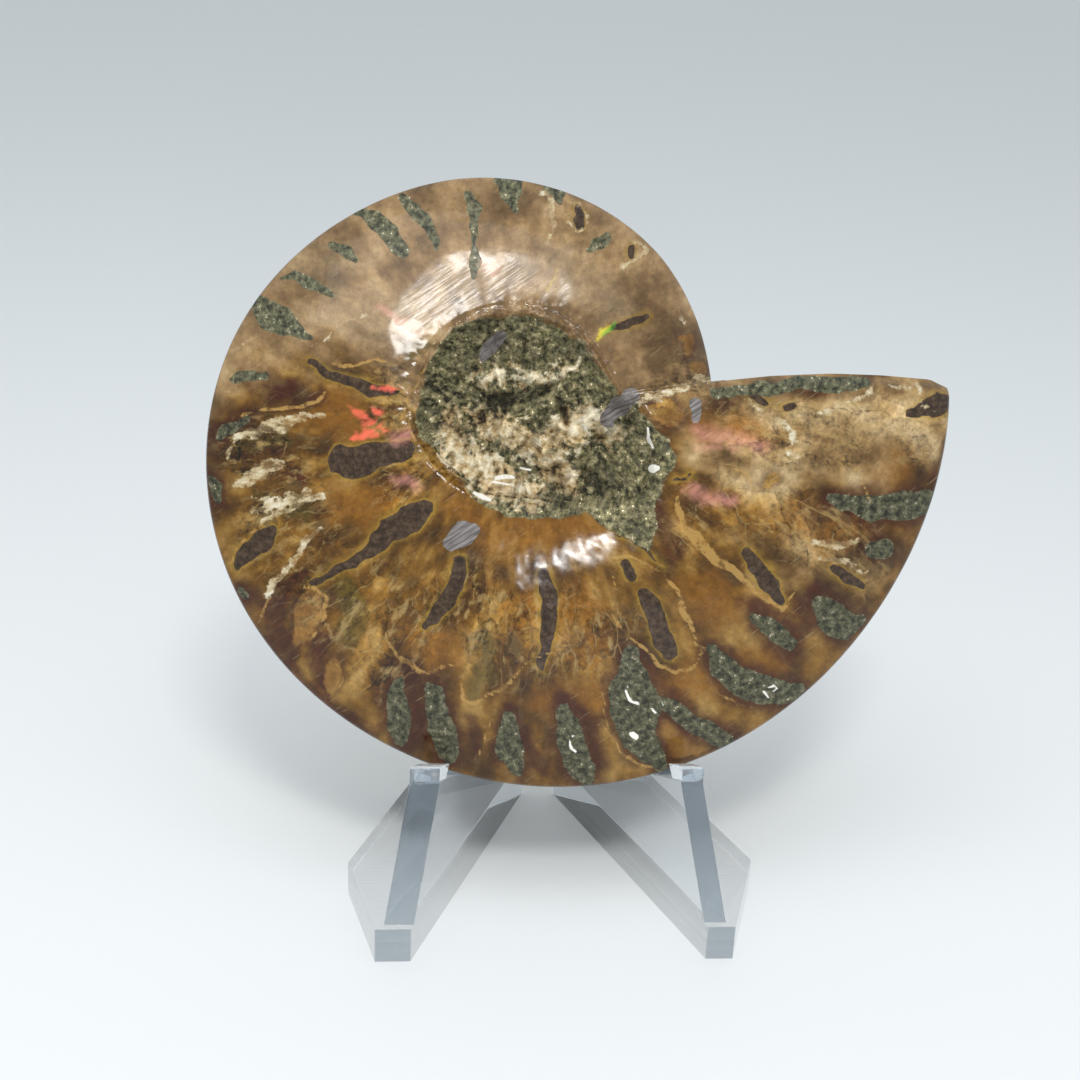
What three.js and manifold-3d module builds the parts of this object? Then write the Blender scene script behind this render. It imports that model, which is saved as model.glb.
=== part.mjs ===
// A polished fossil ammonite, cut flat behind, that leans on two clear stand feet.
// Millimetres, +Z up, front towards -Y. The origin is at the middle of the box, on the table.
import * as THREE from 'three';
import { ParametricGeometry } from 'three/addons/geometries/ParametricGeometry.js';
import { mergeVertices } from 'three/addons/utils/BufferGeometryUtils.js';
import Module from 'manifold-3d';

const wasm = await Module();
wasm.setup();

const degrees = Math.PI / 180;
const fullTurn = 360;

// How the fossil leans and where it rests, measured from the line of the two toes
const lean = 25 * degrees;
const seatY = 14.7;
const seatZ = 19.6;
const seatGap = 0.35;
const centreAcross = -7.4;
const centreUpSlope = 46.3;

// The fossil's outline: rim radii about the coil's centre, one every 40 degrees from the notch on
const notchAngle = 9.7;
const rimStep = 40;
const rimRadii = [28.0, 30.4, 32.1, 33.9, 37.6, 41.4, 45.2, 50.2, 55.4, 60.6];
const cornerAngle = 365.2;
const cutEdge = [[57.3, 6.4], [50, 6.5], [42, 6.3], [34, 5.6], [27.6, 4.7]];
const seamWidth = 2;

// The fossil's thickness above its flat cut face
const rimThickness = 2.2;
const shoulderAtNotch = 8.2;
const shoulderAtMouth = 13.6;
const flankRoundness = 1.6;
const flankFullness = 0.85;
const mouthBow = 0.0015;
const mouthBevelWidth = 2.2;
const mouthBevelDrop = 1.5;

// The rough hollow at the coil's centre
const hollowRadius = 12.4;
const hollowOffset = 1.7;
const hollowOffsetAngle = 65;
const lobeReach = 8;
const lobeAngle = 335;
const lobeSpread = 28;
const hollowFloor = 4.6;
const hollowRise = 0.55;
const lumpHeight = 0.45;
const lumpLength = 1.5;
const wallWidth = 3;

// How finely the fossil's surface is divided
const spiralRays = 100;
const hollowRings = [0, 0.3, 0.6, 0.85, 1];
const wallRings = [0.4, 0.75, 1];
const flankRings = [0.12, 0.26, 0.4, 0.54, 0.67, 0.79, 0.89, 0.96, 1];
const curveSegments = 6;
const weldReach = 1e-4;

// The stand's feet, which turn in towards each other at the back
const footTurn = 22.5 * degrees;
const toeFromMiddle = 19.2;
const footDepth = 40.6;
const baseThickness = 5;
const baseCornerX = 27.6;
const baseCornerY = 15.4;
const toeWidths = { left: 4.6, right: 3.6 };
const finWidths = { left: 3.9, right: 2.9 };
const finSetBack = 0.9;
const lipFrontY = 8.5;
const lipFrontZ = 21.4;
const lipTopZ = 24;
const lipRound = 0.9;
const lipDepth = 3.2;
const slotDepth = 4.3;
const slotSlack = 0.2;
const backrestHeight = 28;
const backrestWidth = 7;
const backrestRound = 2.2;
const finHeelY = 39.6;
const finRoot = 2;

const stoneColour = '#7a5733';
const clearColour = '#dfe7ee';

function smooth(x) {
  const t = Math.min(Math.max(x, 0), 1);
  return t * t * (3 - 2 * t);
}

// One value of the rim's smooth spiral
const rimCurve = new THREE.SplineCurve(rimRadii.map((radius, i) => new THREE.Vector2(i, radius)));

function rimRadius(angle) {
  const place = (angle - notchAngle) / rimStep / (rimRadii.length - 1);
  return rimCurve.getPoint(Math.min(Math.max(place, 0), 1)).y;
}

function angleBetween(a, b) {
  return ((a - b + 1.5 * fullTurn) % fullTurn) - fullTurn / 2;
}

function hollowEdge(angle) {
  const round = hollowRadius + hollowOffset * Math.cos((angle - hollowOffsetAngle) * degrees);
  const fromLobe = angleBetween(angle, lobeAngle) / lobeSpread;
  return round + lobeReach * Math.exp(-fromLobe * fromLobe);
}

function hollowHeight(angle, radius) {
  const x = radius * Math.cos(angle * degrees);
  const y = radius * Math.sin(angle * degrees);
  const lumps = lumpHeight * Math.sin(x / lumpLength) * Math.cos(y / lumpLength);
  return hollowFloor + lumps + hollowRise * Math.max(0, radius - hollowRadius);
}

// Height of the front surface above the cut face, on the whorl whose rim is at that reach
function frontHeight(angle, radius, reach) {
  const edge = hollowEdge(angle);
  if (radius <= edge) {
    return hollowHeight(angle, radius);
  }
  const grown = (angle - notchAngle) / fullTurn;
  const shoulder = shoulderAtNotch + (shoulderAtMouth - shoulderAtNotch) * grown;
  const wallTop = edge + wallWidth;
  const across = Math.min(Math.max((radius - wallTop) / (reach - wallTop), 0), 1);
  const crown = Math.pow(1 - Math.pow(across, flankRoundness), flankFullness);
  const flank = rimThickness + (shoulder - rimThickness) * crown;
  const wall = smooth((radius - edge) / wallWidth);
  return hollowHeight(angle, edge) * (1 - wall) + flank * wall;
}

// The ground bevel along the straight cut mouth
function mouthBevel(angle, radius) {
  const x = radius * Math.cos(angle * degrees);
  const y = radius * Math.sin(angle * degrees);
  if (angle < fullTurn / 2 || y < 0 || x < hollowRadius) {
    return 0;
  }
  const [highestX, highestY] = cutEdge[1];
  const edgeY = highestY - mouthBow * (x - highestX) ** 2;
  return mouthBevelDrop * smooth(1 - (edgeY - y) / mouthBevelWidth);
}

// The rays from the coil's centre: round the spiral, then back along the cut mouth to the notch
function fossilRays() {
  const rays = [];
  const start = notchAngle + seamWidth;
  for (let i = 0; i <= spiralRays; i += 1) {
    const angle = start + (cornerAngle - start) * i / spiralRays;
    rays.push({ angle, end: rimRadius(angle), reach: rimRadius(angle) });
  }
  for (const [x, y] of cutEdge) {
    const angle = fullTurn + Math.atan2(y, x) / degrees;
    rays.push({ angle, end: Math.hypot(x, y), reach: rimRadius(angle) });
  }
  return rays;
}

// One point of the fossil's skin: out over the front along a ray, down the rim, back behind
function fossilGeometry() {
  const rays = fossilRays();
  const frontCount = hollowRings.length + wallRings.length + flankRings.length;
  const stations = frontCount + 2;
  const place = (u, v, target) => {
    const ray = rays[Math.round(u * rays.length) % rays.length];
    const station = Math.round((1 - v) * (stations - 1));
    const edge = hollowEdge(ray.angle);
    const wallStart = hollowRings.length;
    const flankStart = wallStart + wallRings.length;
    let radius = 0;
    let height = 0;
    if (station < wallStart) {
      radius = edge * hollowRings[station];
    } else if (station < flankStart) {
      radius = edge + wallWidth * wallRings[station - wallStart];
    } else if (station < frontCount) {
      const wallTop = edge + wallWidth;
      radius = wallTop + (ray.end - wallTop) * flankRings[station - flankStart];
    } else if (station === frontCount) {
      radius = ray.end;
    }
    if (station < frontCount) {
      height = frontHeight(ray.angle, radius, ray.reach) - mouthBevel(ray.angle, radius);
    }
    target.set(radius * Math.cos(ray.angle * degrees), radius * Math.sin(ray.angle * degrees), height);
  };
  return closed(new ParametricGeometry(place, rays.length, stations - 1));
}

// Welds a geometry's points and drops the triangles that shrink to a line
function closed(geometry) {
  geometry.deleteAttribute('normal');
  geometry.deleteAttribute('uv');
  const welded = mergeVertices(geometry, weldReach);
  const index = welded.getIndex().array;
  const kept = [];
  for (let i = 0; i < index.length; i += 3) {
    const [a, b, c] = [index[i], index[i + 1], index[i + 2]];
    if (a !== b && b !== c && c !== a) {
      kept.push(a, b, c);
    }
  }
  welded.setIndex(kept);
  return welded;
}

function toSolid(geometry) {
  const welded = closed(geometry);
  const vertProperties = new Float32Array(welded.getAttribute('position').array);
  const triVerts = new Uint32Array(welded.getIndex().array);
  return new wasm.Manifold(new wasm.Mesh({ numProp: 3, vertProperties, triVerts }));
}

function toGeometry(solid) {
  const mesh = solid.getMesh();
  const geometry = new THREE.BufferGeometry();
  geometry.setAttribute('position', new THREE.BufferAttribute(mesh.vertProperties, 3));
  geometry.setIndex(new THREE.BufferAttribute(mesh.triVerts, 1));
  return geometry;
}

function extruded(shape, depth) {
  return new THREE.ExtrudeGeometry(shape, { depth, bevelEnabled: false, curveSegments });
}

// A point of the side view, out from the cut face and up the slope from where the rim rests
function onSlope(out, up) {
  return new THREE.Vector2(
    seatY - out * Math.cos(lean) + up * Math.sin(lean),
    seatZ + out * Math.sin(lean) + up * Math.cos(lean),
  );
}

// The fin in side view: leaning front, lip, slot for the rim, backrest and heel
function finProfile() {
  const slotFront = onSlope(slotDepth, -seatGap - slotSlack);
  const slotBack = onSlope(-seatGap, -seatGap - slotSlack);
  const backTop = onSlope(-seatGap, backrestHeight);
  const backCorner = onSlope(-seatGap - backrestWidth, backrestHeight);
  const shape = new THREE.Shape();
  shape.moveTo(finSetBack, finRoot);
  shape.lineTo(finSetBack, baseThickness);
  shape.lineTo(lipFrontY, lipFrontZ);
  shape.lineTo(lipFrontY, lipTopZ - lipRound);
  shape.quadraticCurveTo(lipFrontY, lipTopZ, lipFrontY + lipRound, lipTopZ - lipRound * Math.tan(lean));
  shape.lineTo(lipFrontY + lipDepth, lipTopZ - lipDepth * Math.tan(lean));
  shape.lineTo(slotFront.x, slotFront.y);
  shape.lineTo(slotBack.x, slotBack.y);
  const beforeTop = onSlope(-seatGap, backrestHeight - backrestRound);
  shape.lineTo(beforeTop.x, beforeTop.y);
  const afterTop = onSlope(-seatGap - backrestRound, backrestHeight);
  shape.quadraticCurveTo(backTop.x, backTop.y, afterTop.x, afterTop.y);
  const beforeCorner = onSlope(-seatGap - backrestWidth + backrestRound, backrestHeight);
  shape.lineTo(beforeCorner.x, beforeCorner.y);
  const afterCorner = onSlope(-seatGap - backrestWidth, backrestHeight - backrestRound);
  shape.quadraticCurveTo(backCorner.x, backCorner.y, afterCorner.x, afterCorner.y);
  shape.lineTo(finHeelY, baseThickness);
  shape.lineTo(finHeelY, finRoot);
  return shape;
}

// One foot: a flat base whose front outer corner is cut off, and a fin along its inner side
function footGeometry(side, name) {
  const inward = Math.tan(footTurn);
  const innerX = (y) => toeFromMiddle - y * inward;
  const mirrored = (points) => new THREE.Shape(points.map(([x, y]) => new THREE.Vector2(side * x, y)));

  const base = extruded(mirrored([
    [innerX(0), 0],
    [innerX(0) + toeWidths[name], 0],
    [baseCornerX, baseCornerY],
    [baseCornerX - (footDepth - baseCornerY) * inward, footDepth],
    [innerX(footDepth), footDepth],
  ]), baseThickness);

  const band = extruded(mirrored([
    [innerX(0), 0],
    [innerX(0) + finWidths[name], 0],
    [innerX(footDepth) + finWidths[name], footDepth],
    [innerX(footDepth), footDepth],
  ]), seatZ + backrestHeight);

  const sideView = extruded(finProfile(), 4 * baseCornerX);
  const alongX = new THREE.Vector3(1, 0, 0);
  const alongY = new THREE.Vector3(0, 1, 0);
  const alongZ = new THREE.Vector3(0, 0, 1);
  sideView.applyMatrix4(new THREE.Matrix4().makeBasis(alongY, alongZ, alongX));
  sideView.translate(-2 * baseCornerX, 0, 0);

  return toGeometry(toSolid(base).add(toSolid(band).intersect(toSolid(sideView))));
}

function namedMesh(name, geometry, material) {
  const mesh = new THREE.Mesh(geometry, material);
  mesh.name = name;
  return mesh;
}

const stone = new THREE.MeshStandardMaterial({ color: stoneColour, roughness: 0.3, metalness: 0 });
const clear = new THREE.MeshStandardMaterial({
  color: clearColour, roughness: 0.05, metalness: 0, transparent: true, opacity: 0.35,
});

const fossil = namedMesh('ammonite', fossilGeometry(), stone);
const centre = onSlope(0, centreUpSlope);
fossil.rotation.x = Math.PI / 2 - lean;
fossil.position.set(centreAcross, centre.x, centre.y);

const model = new THREE.Group();
model.add(fossil);
model.add(namedMesh('stand_foot_left', footGeometry(-1, 'left'), clear));
model.add(namedMesh('stand_foot_right', footGeometry(1, 'right'), clear));

// Puts the origin under the middle of the whole box
const box = new THREE.Box3().setFromObject(model, true);
const middle = box.getCenter(new THREE.Vector3());
model.position.set(-middle.x, -middle.y, -box.min.z);

const part = new THREE.Group();
part.add(model);

export default part;
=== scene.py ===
import math

import bmesh
import bpy
import numpy as np
from mathutils import Matrix, Vector, noise


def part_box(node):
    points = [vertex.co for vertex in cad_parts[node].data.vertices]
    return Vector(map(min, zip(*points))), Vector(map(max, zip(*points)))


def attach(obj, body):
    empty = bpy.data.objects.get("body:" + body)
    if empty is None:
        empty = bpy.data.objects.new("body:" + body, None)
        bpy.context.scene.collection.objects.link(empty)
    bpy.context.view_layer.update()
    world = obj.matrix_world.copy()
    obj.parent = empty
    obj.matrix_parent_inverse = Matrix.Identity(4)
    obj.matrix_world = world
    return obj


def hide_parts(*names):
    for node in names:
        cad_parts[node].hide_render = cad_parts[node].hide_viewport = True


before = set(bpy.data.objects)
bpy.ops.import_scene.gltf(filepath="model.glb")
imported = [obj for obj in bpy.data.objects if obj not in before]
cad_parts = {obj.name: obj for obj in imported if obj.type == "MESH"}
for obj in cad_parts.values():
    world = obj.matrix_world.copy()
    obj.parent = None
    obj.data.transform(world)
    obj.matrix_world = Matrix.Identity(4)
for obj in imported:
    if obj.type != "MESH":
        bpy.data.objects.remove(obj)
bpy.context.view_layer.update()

mm = 0.001
scene = bpy.context.scene

# The stand's toes touch the table along one line, and everything is placed from its middle
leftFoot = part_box("stand_foot_left")
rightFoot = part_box("stand_foot_right")
toeMiddle = Vector(((leftFoot[0][0] + rightFoot[1][0]) / 2, leftFoot[0][1], 0))


def colour(text, alpha=1.0):
    channels = [int(text[i:i + 2], 16) / 255 for i in (1, 3, 5)]
    linear = [c / 12.92 if c <= 0.04045 else ((c + 0.055) / 1.055) ** 2.4 for c in channels]
    return (*linear, alpha)


def smooth(x, low=0.0, high=1.0):
    t = np.clip((x - low) / (high - low), 0, 1)
    return t * t * (3 - 2 * t)


# Camera, in mm from the middle of the toe line, with angles in degrees and the range that it sees in metres
cameraSetup = {
    "place": (-21.96, -191.1, 143.14),
    "turn": 5.09,
    "pitch": 23.56,
    "roll": 2.61,
    "lens": 60,
    "sensor": 36,
    "frameWidth": 1080,
    "range": (0.01, 20),
}


def cameraAxes():
    turn, pitch, roll = (math.radians(cameraSetup[name]) for name in ("turn", "pitch", "roll"))
    level = Vector((math.cos(turn), -math.sin(turn), 0))
    over = Vector((math.sin(turn) * math.sin(pitch), math.cos(turn) * math.sin(pitch), math.cos(pitch)))
    forward = Vector((math.sin(turn) * math.cos(pitch), math.cos(turn) * math.cos(pitch), -math.sin(pitch)))
    right = level * math.cos(roll) + over * math.sin(roll)
    up = over * math.cos(roll) - level * math.sin(roll)
    return right, up, forward


def cameraPlace():
    return toeMiddle + Vector(cameraSetup["place"]) * mm


def makeCamera():
    right, up, forward = cameraAxes()
    data = bpy.data.cameras.new("camera")
    data.lens = cameraSetup["lens"]
    data.sensor_width = cameraSetup["sensor"]
    data.clip_start, data.clip_end = cameraSetup["range"]
    camera = bpy.data.objects.new("camera", data)
    turned = Matrix((right, up, -forward)).transposed().to_4x4()
    camera.matrix_world = Matrix.Translation(cameraPlace()) @ turned
    scene.collection.objects.link(camera)
    scene.camera = camera


# Where points in the room fall in the photograph, in its own 1080 pixel frame
def toPicture(points):
    right, up, forward = (np.array(axis) for axis in cameraAxes())
    away = points - np.array(cameraPlace())
    depth = away @ forward
    half = cameraSetup["frameWidth"] / 2
    focal = cameraSetup["frameWidth"] * cameraSetup["lens"] / cameraSetup["sensor"]
    return np.stack([half + focal * (away @ right) / depth, half - focal * (away @ up) / depth], axis=1)


# Node helpers
def addNode(tree, kind, inputs=None, **settings):
    made = tree.nodes.new(kind)
    for name, value in settings.items():
        setattr(made, name, value)
    for name, value in (inputs or {}).items():
        socket = made.inputs[name]
        if isinstance(value, bpy.types.NodeSocket):
            tree.links.new(value, socket)
        else:
            socket.default_value = value
    return made


def maths(tree, operation, first, second=0.0, third=0.0):
    return addNode(tree, "ShaderNodeMath", {0: first, 1: second, 2: third}, operation=operation).outputs[0]


def plus(tree, first, second):
    return maths(tree, "ADD", first, second)


def minus(tree, first, second):
    return maths(tree, "SUBTRACT", first, second)


def times(tree, first, second):
    return maths(tree, "MULTIPLY", first, second)


def timesPlus(tree, value, factor, offset):
    return maths(tree, "MULTIPLY_ADD", value, factor, offset)


def larger(tree, first, second):
    return maths(tree, "MAXIMUM", first, second)


def rangeOf(tree, value, low, high, toLow=0.0, toHigh=1.0):
    inputs = {"Value": value, "From Min": low, "From Max": high, "To Min": toLow, "To Max": toHigh}
    return addNode(tree, "ShaderNodeMapRange", inputs, interpolation_type="SMOOTHSTEP").outputs[0]


def mixColour(tree, factor, first, second):
    return addNode(tree, "ShaderNodeMix", {0: factor, 6: first, 7: second}, data_type="RGBA").outputs[2]


def mixValue(tree, factor, first, second):
    return addNode(tree, "ShaderNodeMix", {0: factor, 2: first, 3: second}).outputs[0]


def scaled(tree, vector, factor):
    return addNode(tree, "ShaderNodeVectorMath", {0: vector, "Scale": factor}, operation="SCALE").outputs[0]


def channelsOf(tree, value):
    return addNode(tree, "ShaderNodeSeparateColor", {0: value}).outputs


def attribute(tree, name, output="Fac"):
    return addNode(tree, "ShaderNodeAttribute", attribute_name=name).outputs[output]


# Textures lie in the plane of the cut face, which is quick and suits a low, polished form
def noiseOf(tree, vector, scale, detail=4.0, roughness=0.55, output=0):
    inputs = {"Vector": vector, "Scale": scale, "Detail": detail, "Roughness": roughness}
    return addNode(tree, "ShaderNodeTexNoise", inputs, noise_dimensions="2D").outputs[output]


def cellsOf(tree, vector, scale, feature="F1", output=0):
    inputs = {"Vector": vector, "Scale": scale}
    made = addNode(tree, "ShaderNodeTexVoronoi", inputs, voronoi_dimensions="2D", feature=feature)
    return made.outputs[output]


def rampOf(tree, factor, stops):
    made = addNode(tree, "ShaderNodeValToRGB", {0: factor})
    band = made.color_ramp
    while len(band.elements) < len(stops):
        band.elements.new(0.5)
    for element, (position, text) in zip(band.elements, stops):
        element.position = position
        element.color = colour(text)
    return made.outputs[0]


def warped(tree, vector, scale, amount):
    cloud = noiseOf(tree, vector, scale, 1, output=1)
    inputs = {0: cloud, 1: (0.5, 0.5, 0.5)}
    centred = addNode(tree, "ShaderNodeVectorMath", inputs, operation="SUBTRACT").outputs[0]
    inputs = {0: centred, 1: (amount, amount, amount), 2: vector}
    return addNode(tree, "ShaderNodeVectorMath", inputs, operation="MULTIPLY_ADD").outputs[0]


def newMaterial(name):
    made = bpy.data.materials.new(name)
    made.use_nodes = True
    made.node_tree.nodes.clear()
    return made, made.node_tree


def finishMaterial(tree, shader, volume=None):
    output = addNode(tree, "ShaderNodeOutputMaterial", {"Surface": shader.outputs[0]})
    if volume:
        tree.links.new(volume.outputs[0], output.inputs["Volume"])


def groupOf(name, inputs, outputs):
    tree = bpy.data.node_groups.new(name, "ShaderNodeTree")
    for label, kind, value in inputs:
        socket = tree.interface.new_socket(name=label, in_out="INPUT", socket_type=kind)
        if value is not None:
            socket.default_value = value
    for label, kind in outputs:
        tree.interface.new_socket(name=label, in_out="OUTPUT", socket_type=kind)
    return tree, tree.nodes.new("NodeGroupInput"), tree.nodes.new("NodeGroupOutput")


def placeGroup(tree, group, inputs):
    return addNode(tree, "ShaderNodeGroup", inputs, node_tree=group).outputs


# Floor, a sheet that sweeps up far behind, and the soft light, in metres
stageSetup = {
    "width": 8.0,
    "front": -2.0,
    "bend": 2.2,
    "bendRadius": 1.0,
    "bendSteps": 24,
    "height": 1.6,
    "paper": "#eff1f2",
    "paperRough": 0.6,
    "paperShine": 0.2,
    "world": "#ccd3d7",
    "worldStrength": 0.96,
}

# The key lamp is small, so that it glints on the ground facets, and the softbox lights the paper round
# the stand
lights = {
    "keyLamp": {"place": (0.012, -0.375, 0.52), "aim": (0, 0, 0.05), "size": (0.12, 0.1), "power": 1.1,
                "tint": "#fffdf8"},
    "frontLamp": {"place": (0.02, -0.6, 0.17), "aim": (0, 0, 0.05), "size": (0.05, 0.03), "power": 0.45,
                  "tint": "#ffffff"},
    "softbox": {"place": (-0.08, -0.13, 0.42), "aim": (-0.05, -0.07, 0), "size": (0.4, 0.3), "power": 0.56,
                "tint": "#ffffff"},
}


# The paper's edge from the side, swept round its bend, is drawn across the stage
def makeStage():
    setup = stageSetup
    side = -setup["width"] / 2
    bm = bmesh.new()
    first = bm.verts.new((side, setup["front"], 0))
    second = bm.verts.new((side, setup["bend"], 0))
    bm.edges.new((first, second))
    swept = bmesh.ops.spin(
        bm, geom=[second], cent=(side, setup["bend"], setup["bendRadius"]), axis=(1, 0, 0),
        angle=math.radians(90), steps=setup["bendSteps"], use_duplicate=False,
    )
    last = [item for item in swept["geom_last"] if isinstance(item, bmesh.types.BMVert)][0]
    top = bm.verts.new((last.co.x, last.co.y, setup["height"]))
    bm.edges.new((last, top))
    drawn = bmesh.ops.extrude_edge_only(bm, edges=list(bm.edges))
    moved = [item for item in drawn["geom"] if isinstance(item, bmesh.types.BMVert)]
    bmesh.ops.translate(bm, verts=moved, vec=(setup["width"], 0, 0))
    bmesh.ops.recalc_face_normals(bm, faces=bm.faces)
    for face in bm.faces:
        face.smooth = True
    mesh = bpy.data.meshes.new("floor")
    bm.to_mesh(mesh)
    bm.free()
    floor = bpy.data.objects.new("floor", mesh)
    scene.collection.objects.link(floor)
    paper, tree = newMaterial("paleFloor")
    shader = addNode(tree, "ShaderNodeBsdfPrincipled", {
        "Base Color": colour(setup["paper"]),
        "Roughness": setup["paperRough"],
        "Specular IOR Level": setup["paperShine"],
    })
    finishMaterial(tree, shader)
    mesh.materials.append(paper)


def makeLights():
    for name, setup in lights.items():
        data = bpy.data.lights.new(name, "AREA")
        data.shape = "RECTANGLE"
        data.size, data.size_y = setup["size"]
        data.energy = setup["power"]
        data.color = colour(setup["tint"])[:3]
        lamp = bpy.data.objects.new(name, data)
        place = Vector(setup["place"])
        lamp.location = place
        lamp.rotation_euler = (Vector(setup["aim"]) - place).to_track_quat("-Z", "Y").to_euler()
        scene.collection.objects.link(lamp)
    world = bpy.data.worlds.new("softRoom")
    world.use_nodes = True
    background = world.node_tree.nodes["Background"]
    background.inputs["Color"].default_value = colour(stageSetup["world"])
    background.inputs["Strength"].default_value = stageSetup["worldStrength"]
    scene.world = world
    scene.view_settings.view_transform = "Standard"
    scene.view_settings.look = "None"


# Fossil, in mm and degrees on its own cut face: x across, y up the slope, z out towards the viewer
fossil = {
    "lean": 25,
    "seat": (14.7, 19.6),
    "centreAcross": -7.4,
    "centreUpSlope": 46.3,
    "notchAngle": 9.7,
    "rimStep": 40,
    "rimRadii": [28.0, 30.4, 32.1, 33.9, 37.6, 41.4, 45.2, 50.2, 55.4, 60.6],
    "cornerAngle": 365.2,
    "cutEdge": [(57.3, 6.4), (50, 6.5), (42, 6.3), (34, 5.6), (27.6, 4.7)],
    "seamWidth": 2.0,
    "rimThickness": 2.2,
    "shoulderAtNotch": 8.2,
    "shoulderAtMouth": 13.6,
    "flankRoundness": 1.6,
    "flankFullness": 0.85,
    "mouthBevelWidth": 2.2,
    "mouthBevelDrop": 1.5,
    "mouthBow": 0.0015,
    "hollowRadius": 12.4,
    "hollowOffset": 1.7,
    "hollowOffsetAngle": 65,
    "lobeReach": 8.0,
    "lobeAngle": 335,
    "lobeSpread": 28,
    "hollowFloor": 4.6,
    "hollowRise": 0.55,
    "lumpHeight": 0.45,
    "lumpLength": 1.5,
    "wallWidth": 3.0,
    "edgeRound": 0.3,
}

# The rock banks up against the hollow's wall, so that what shows of the wall is steeper and further in
shownWall = {
    "start": -1.4,
    "width": 2.2,
}

# How finely the surface is divided, how close its points are welded in mm, and how squarely a face of the
# flat cut looks back
fossilGrid = {
    "spiralRays": 546,
    "mouthRays": 60,
    "seamRays": 10,
    "hollowRings": 42,
    "wallRings": 16,
    "flankRings": 80,
    "flankSpacing": 1.15,
    "backRings": 5,
    "weld": 0.002,
    "sliver": 0.001,
    "backFacing": 0.9,
}

# Heights and sizes in mm. Edges are where a mark starts and ends, from its drawn outline
fossilRelief = {
    "crumbs": 0.7,
    "crumbSize": 0.8,
    "pebbles": 0.9,
    "pebbleSize": 3.6,
    "rockFade": (-0.8, 0.6),
    "middleFade": 0.6,
    "creviceDepth": 1.0,
    "creviceEdge": (-0.7, 0.3),
    "ledgeHeight": 0.7,
    "ledgeEdge": (-0.6, 0.3),
    "bankHeight": 3.0,
    "bankWidth": 6.5,
    "seamCrust": 0.5,
    "seamGrain": 1.2,
    "seamLift": 0.3,
    "chips": 0.14,
    "chipSize": 1.5,
    "ripple": 0.14,
    "rippleSize": 9.0,
    "least": 0.01,
}

# Flats that were ground on the shoulder. Each mirrors the key lamp to where the photograph was taken.
# Middle and reach are in the photograph's pixels
groundFlats = {
    "shoulder": {"middle": (434, 298), "reach": 74, "depth": 0.6, "tilt": (0, 0, 0)},
    "top": {"middle": (514, 284), "reach": 80, "depth": 0.45, "tilt": (0.045, 0, 0)},
}

# Share of the form above a flat that is ground away, how softly its edge is rounded in mm, and the part
# of its reach where it starts to fade
grinding = {
    "share": 0.86,
    "softness": 0.16,
    "fade": 0.55,
}


def fossilPlace():
    lean = math.radians(fossil["lean"])
    out, up = fossil["seat"]
    rise = fossil["centreUpSlope"]
    place = Vector((fossil["centreAcross"], out + rise * math.sin(lean), up + rise * math.cos(lean)))
    return toeMiddle + place * mm


def fossilTurn():
    return math.radians(90 - fossil["lean"])


def fossilNormal():
    lean = math.radians(fossil["lean"])
    return Vector((0, -math.cos(lean), math.sin(lean)))


def acrossAndUp(angle, radius):
    turned = np.radians(angle)
    return radius * np.cos(turned), radius * np.sin(turned)


# One value of the rim's smooth spiral for each angle
def rimRadius(angle):
    radii = np.array(fossil["rimRadii"])
    last = len(radii) - 1
    place = np.clip((angle - fossil["notchAngle"]) / fossil["rimStep"], 0, last)
    index = np.minimum(np.floor(place).astype(int), last - 1)
    t = place - index
    before, start, end, after = (radii[np.clip(index + step, 0, last)] for step in (-1, 0, 1, 2))
    slopeStart = (end - before) / 2
    slopeEnd = (after - start) / 2
    cubic = (2 * start - 2 * end + slopeStart + slopeEnd) * t ** 3
    square = (3 * end - 3 * start - 2 * slopeStart - slopeEnd) * t ** 2
    return cubic + square + slopeStart * t + start


def hollowEdge(angle):
    offset = fossil["hollowOffset"] * np.cos(np.radians(angle - fossil["hollowOffsetAngle"]))
    fromLobe = ((angle - fossil["lobeAngle"] + 540) % 360 - 180) / fossil["lobeSpread"]
    return fossil["hollowRadius"] + offset + fossil["lobeReach"] * np.exp(-fromLobe ** 2)


def hollowHeight(angle, radius):
    across, up = acrossAndUp(angle, radius)
    lumps = np.sin(across / fossil["lumpLength"]) * np.cos(up / fossil["lumpLength"])
    rise = np.maximum(0, radius - fossil["hollowRadius"]) * fossil["hollowRise"]
    return fossil["hollowFloor"] + fossil["lumpHeight"] * lumps + rise


def frontHeight(angle, radius, reach):
    edge = hollowEdge(angle)
    grown = (angle - fossil["notchAngle"]) / 360
    shoulder = fossil["shoulderAtNotch"] + (fossil["shoulderAtMouth"] - fossil["shoulderAtNotch"]) * grown
    wallTop = edge + fossil["wallWidth"]
    outward = np.clip((radius - wallTop) / (reach - wallTop), 0, 1)
    crown = (1 - outward ** fossil["flankRoundness"]) ** fossil["flankFullness"]
    flank = fossil["rimThickness"] + (shoulder - fossil["rimThickness"]) * crown
    wall = smooth((radius - edge - shownWall["start"]) / shownWall["width"])
    skirt = hollowHeight(angle, np.minimum(radius, edge))
    return skirt * (1 - wall) + flank * wall


def mouthBevel(angle, radius):
    across, up = acrossAndUp(angle, radius)
    middle, highest = fossil["cutEdge"][1]
    line = highest - fossil["mouthBow"] * (across - middle) ** 2
    onMouth = (angle > 180) & (up > 0) & (across > fossil["hollowRadius"])
    drop = fossil["mouthBevelDrop"] * smooth(1 - (line - up) / fossil["mouthBevelWidth"])
    return np.where(onMouth, drop, 0)


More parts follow.
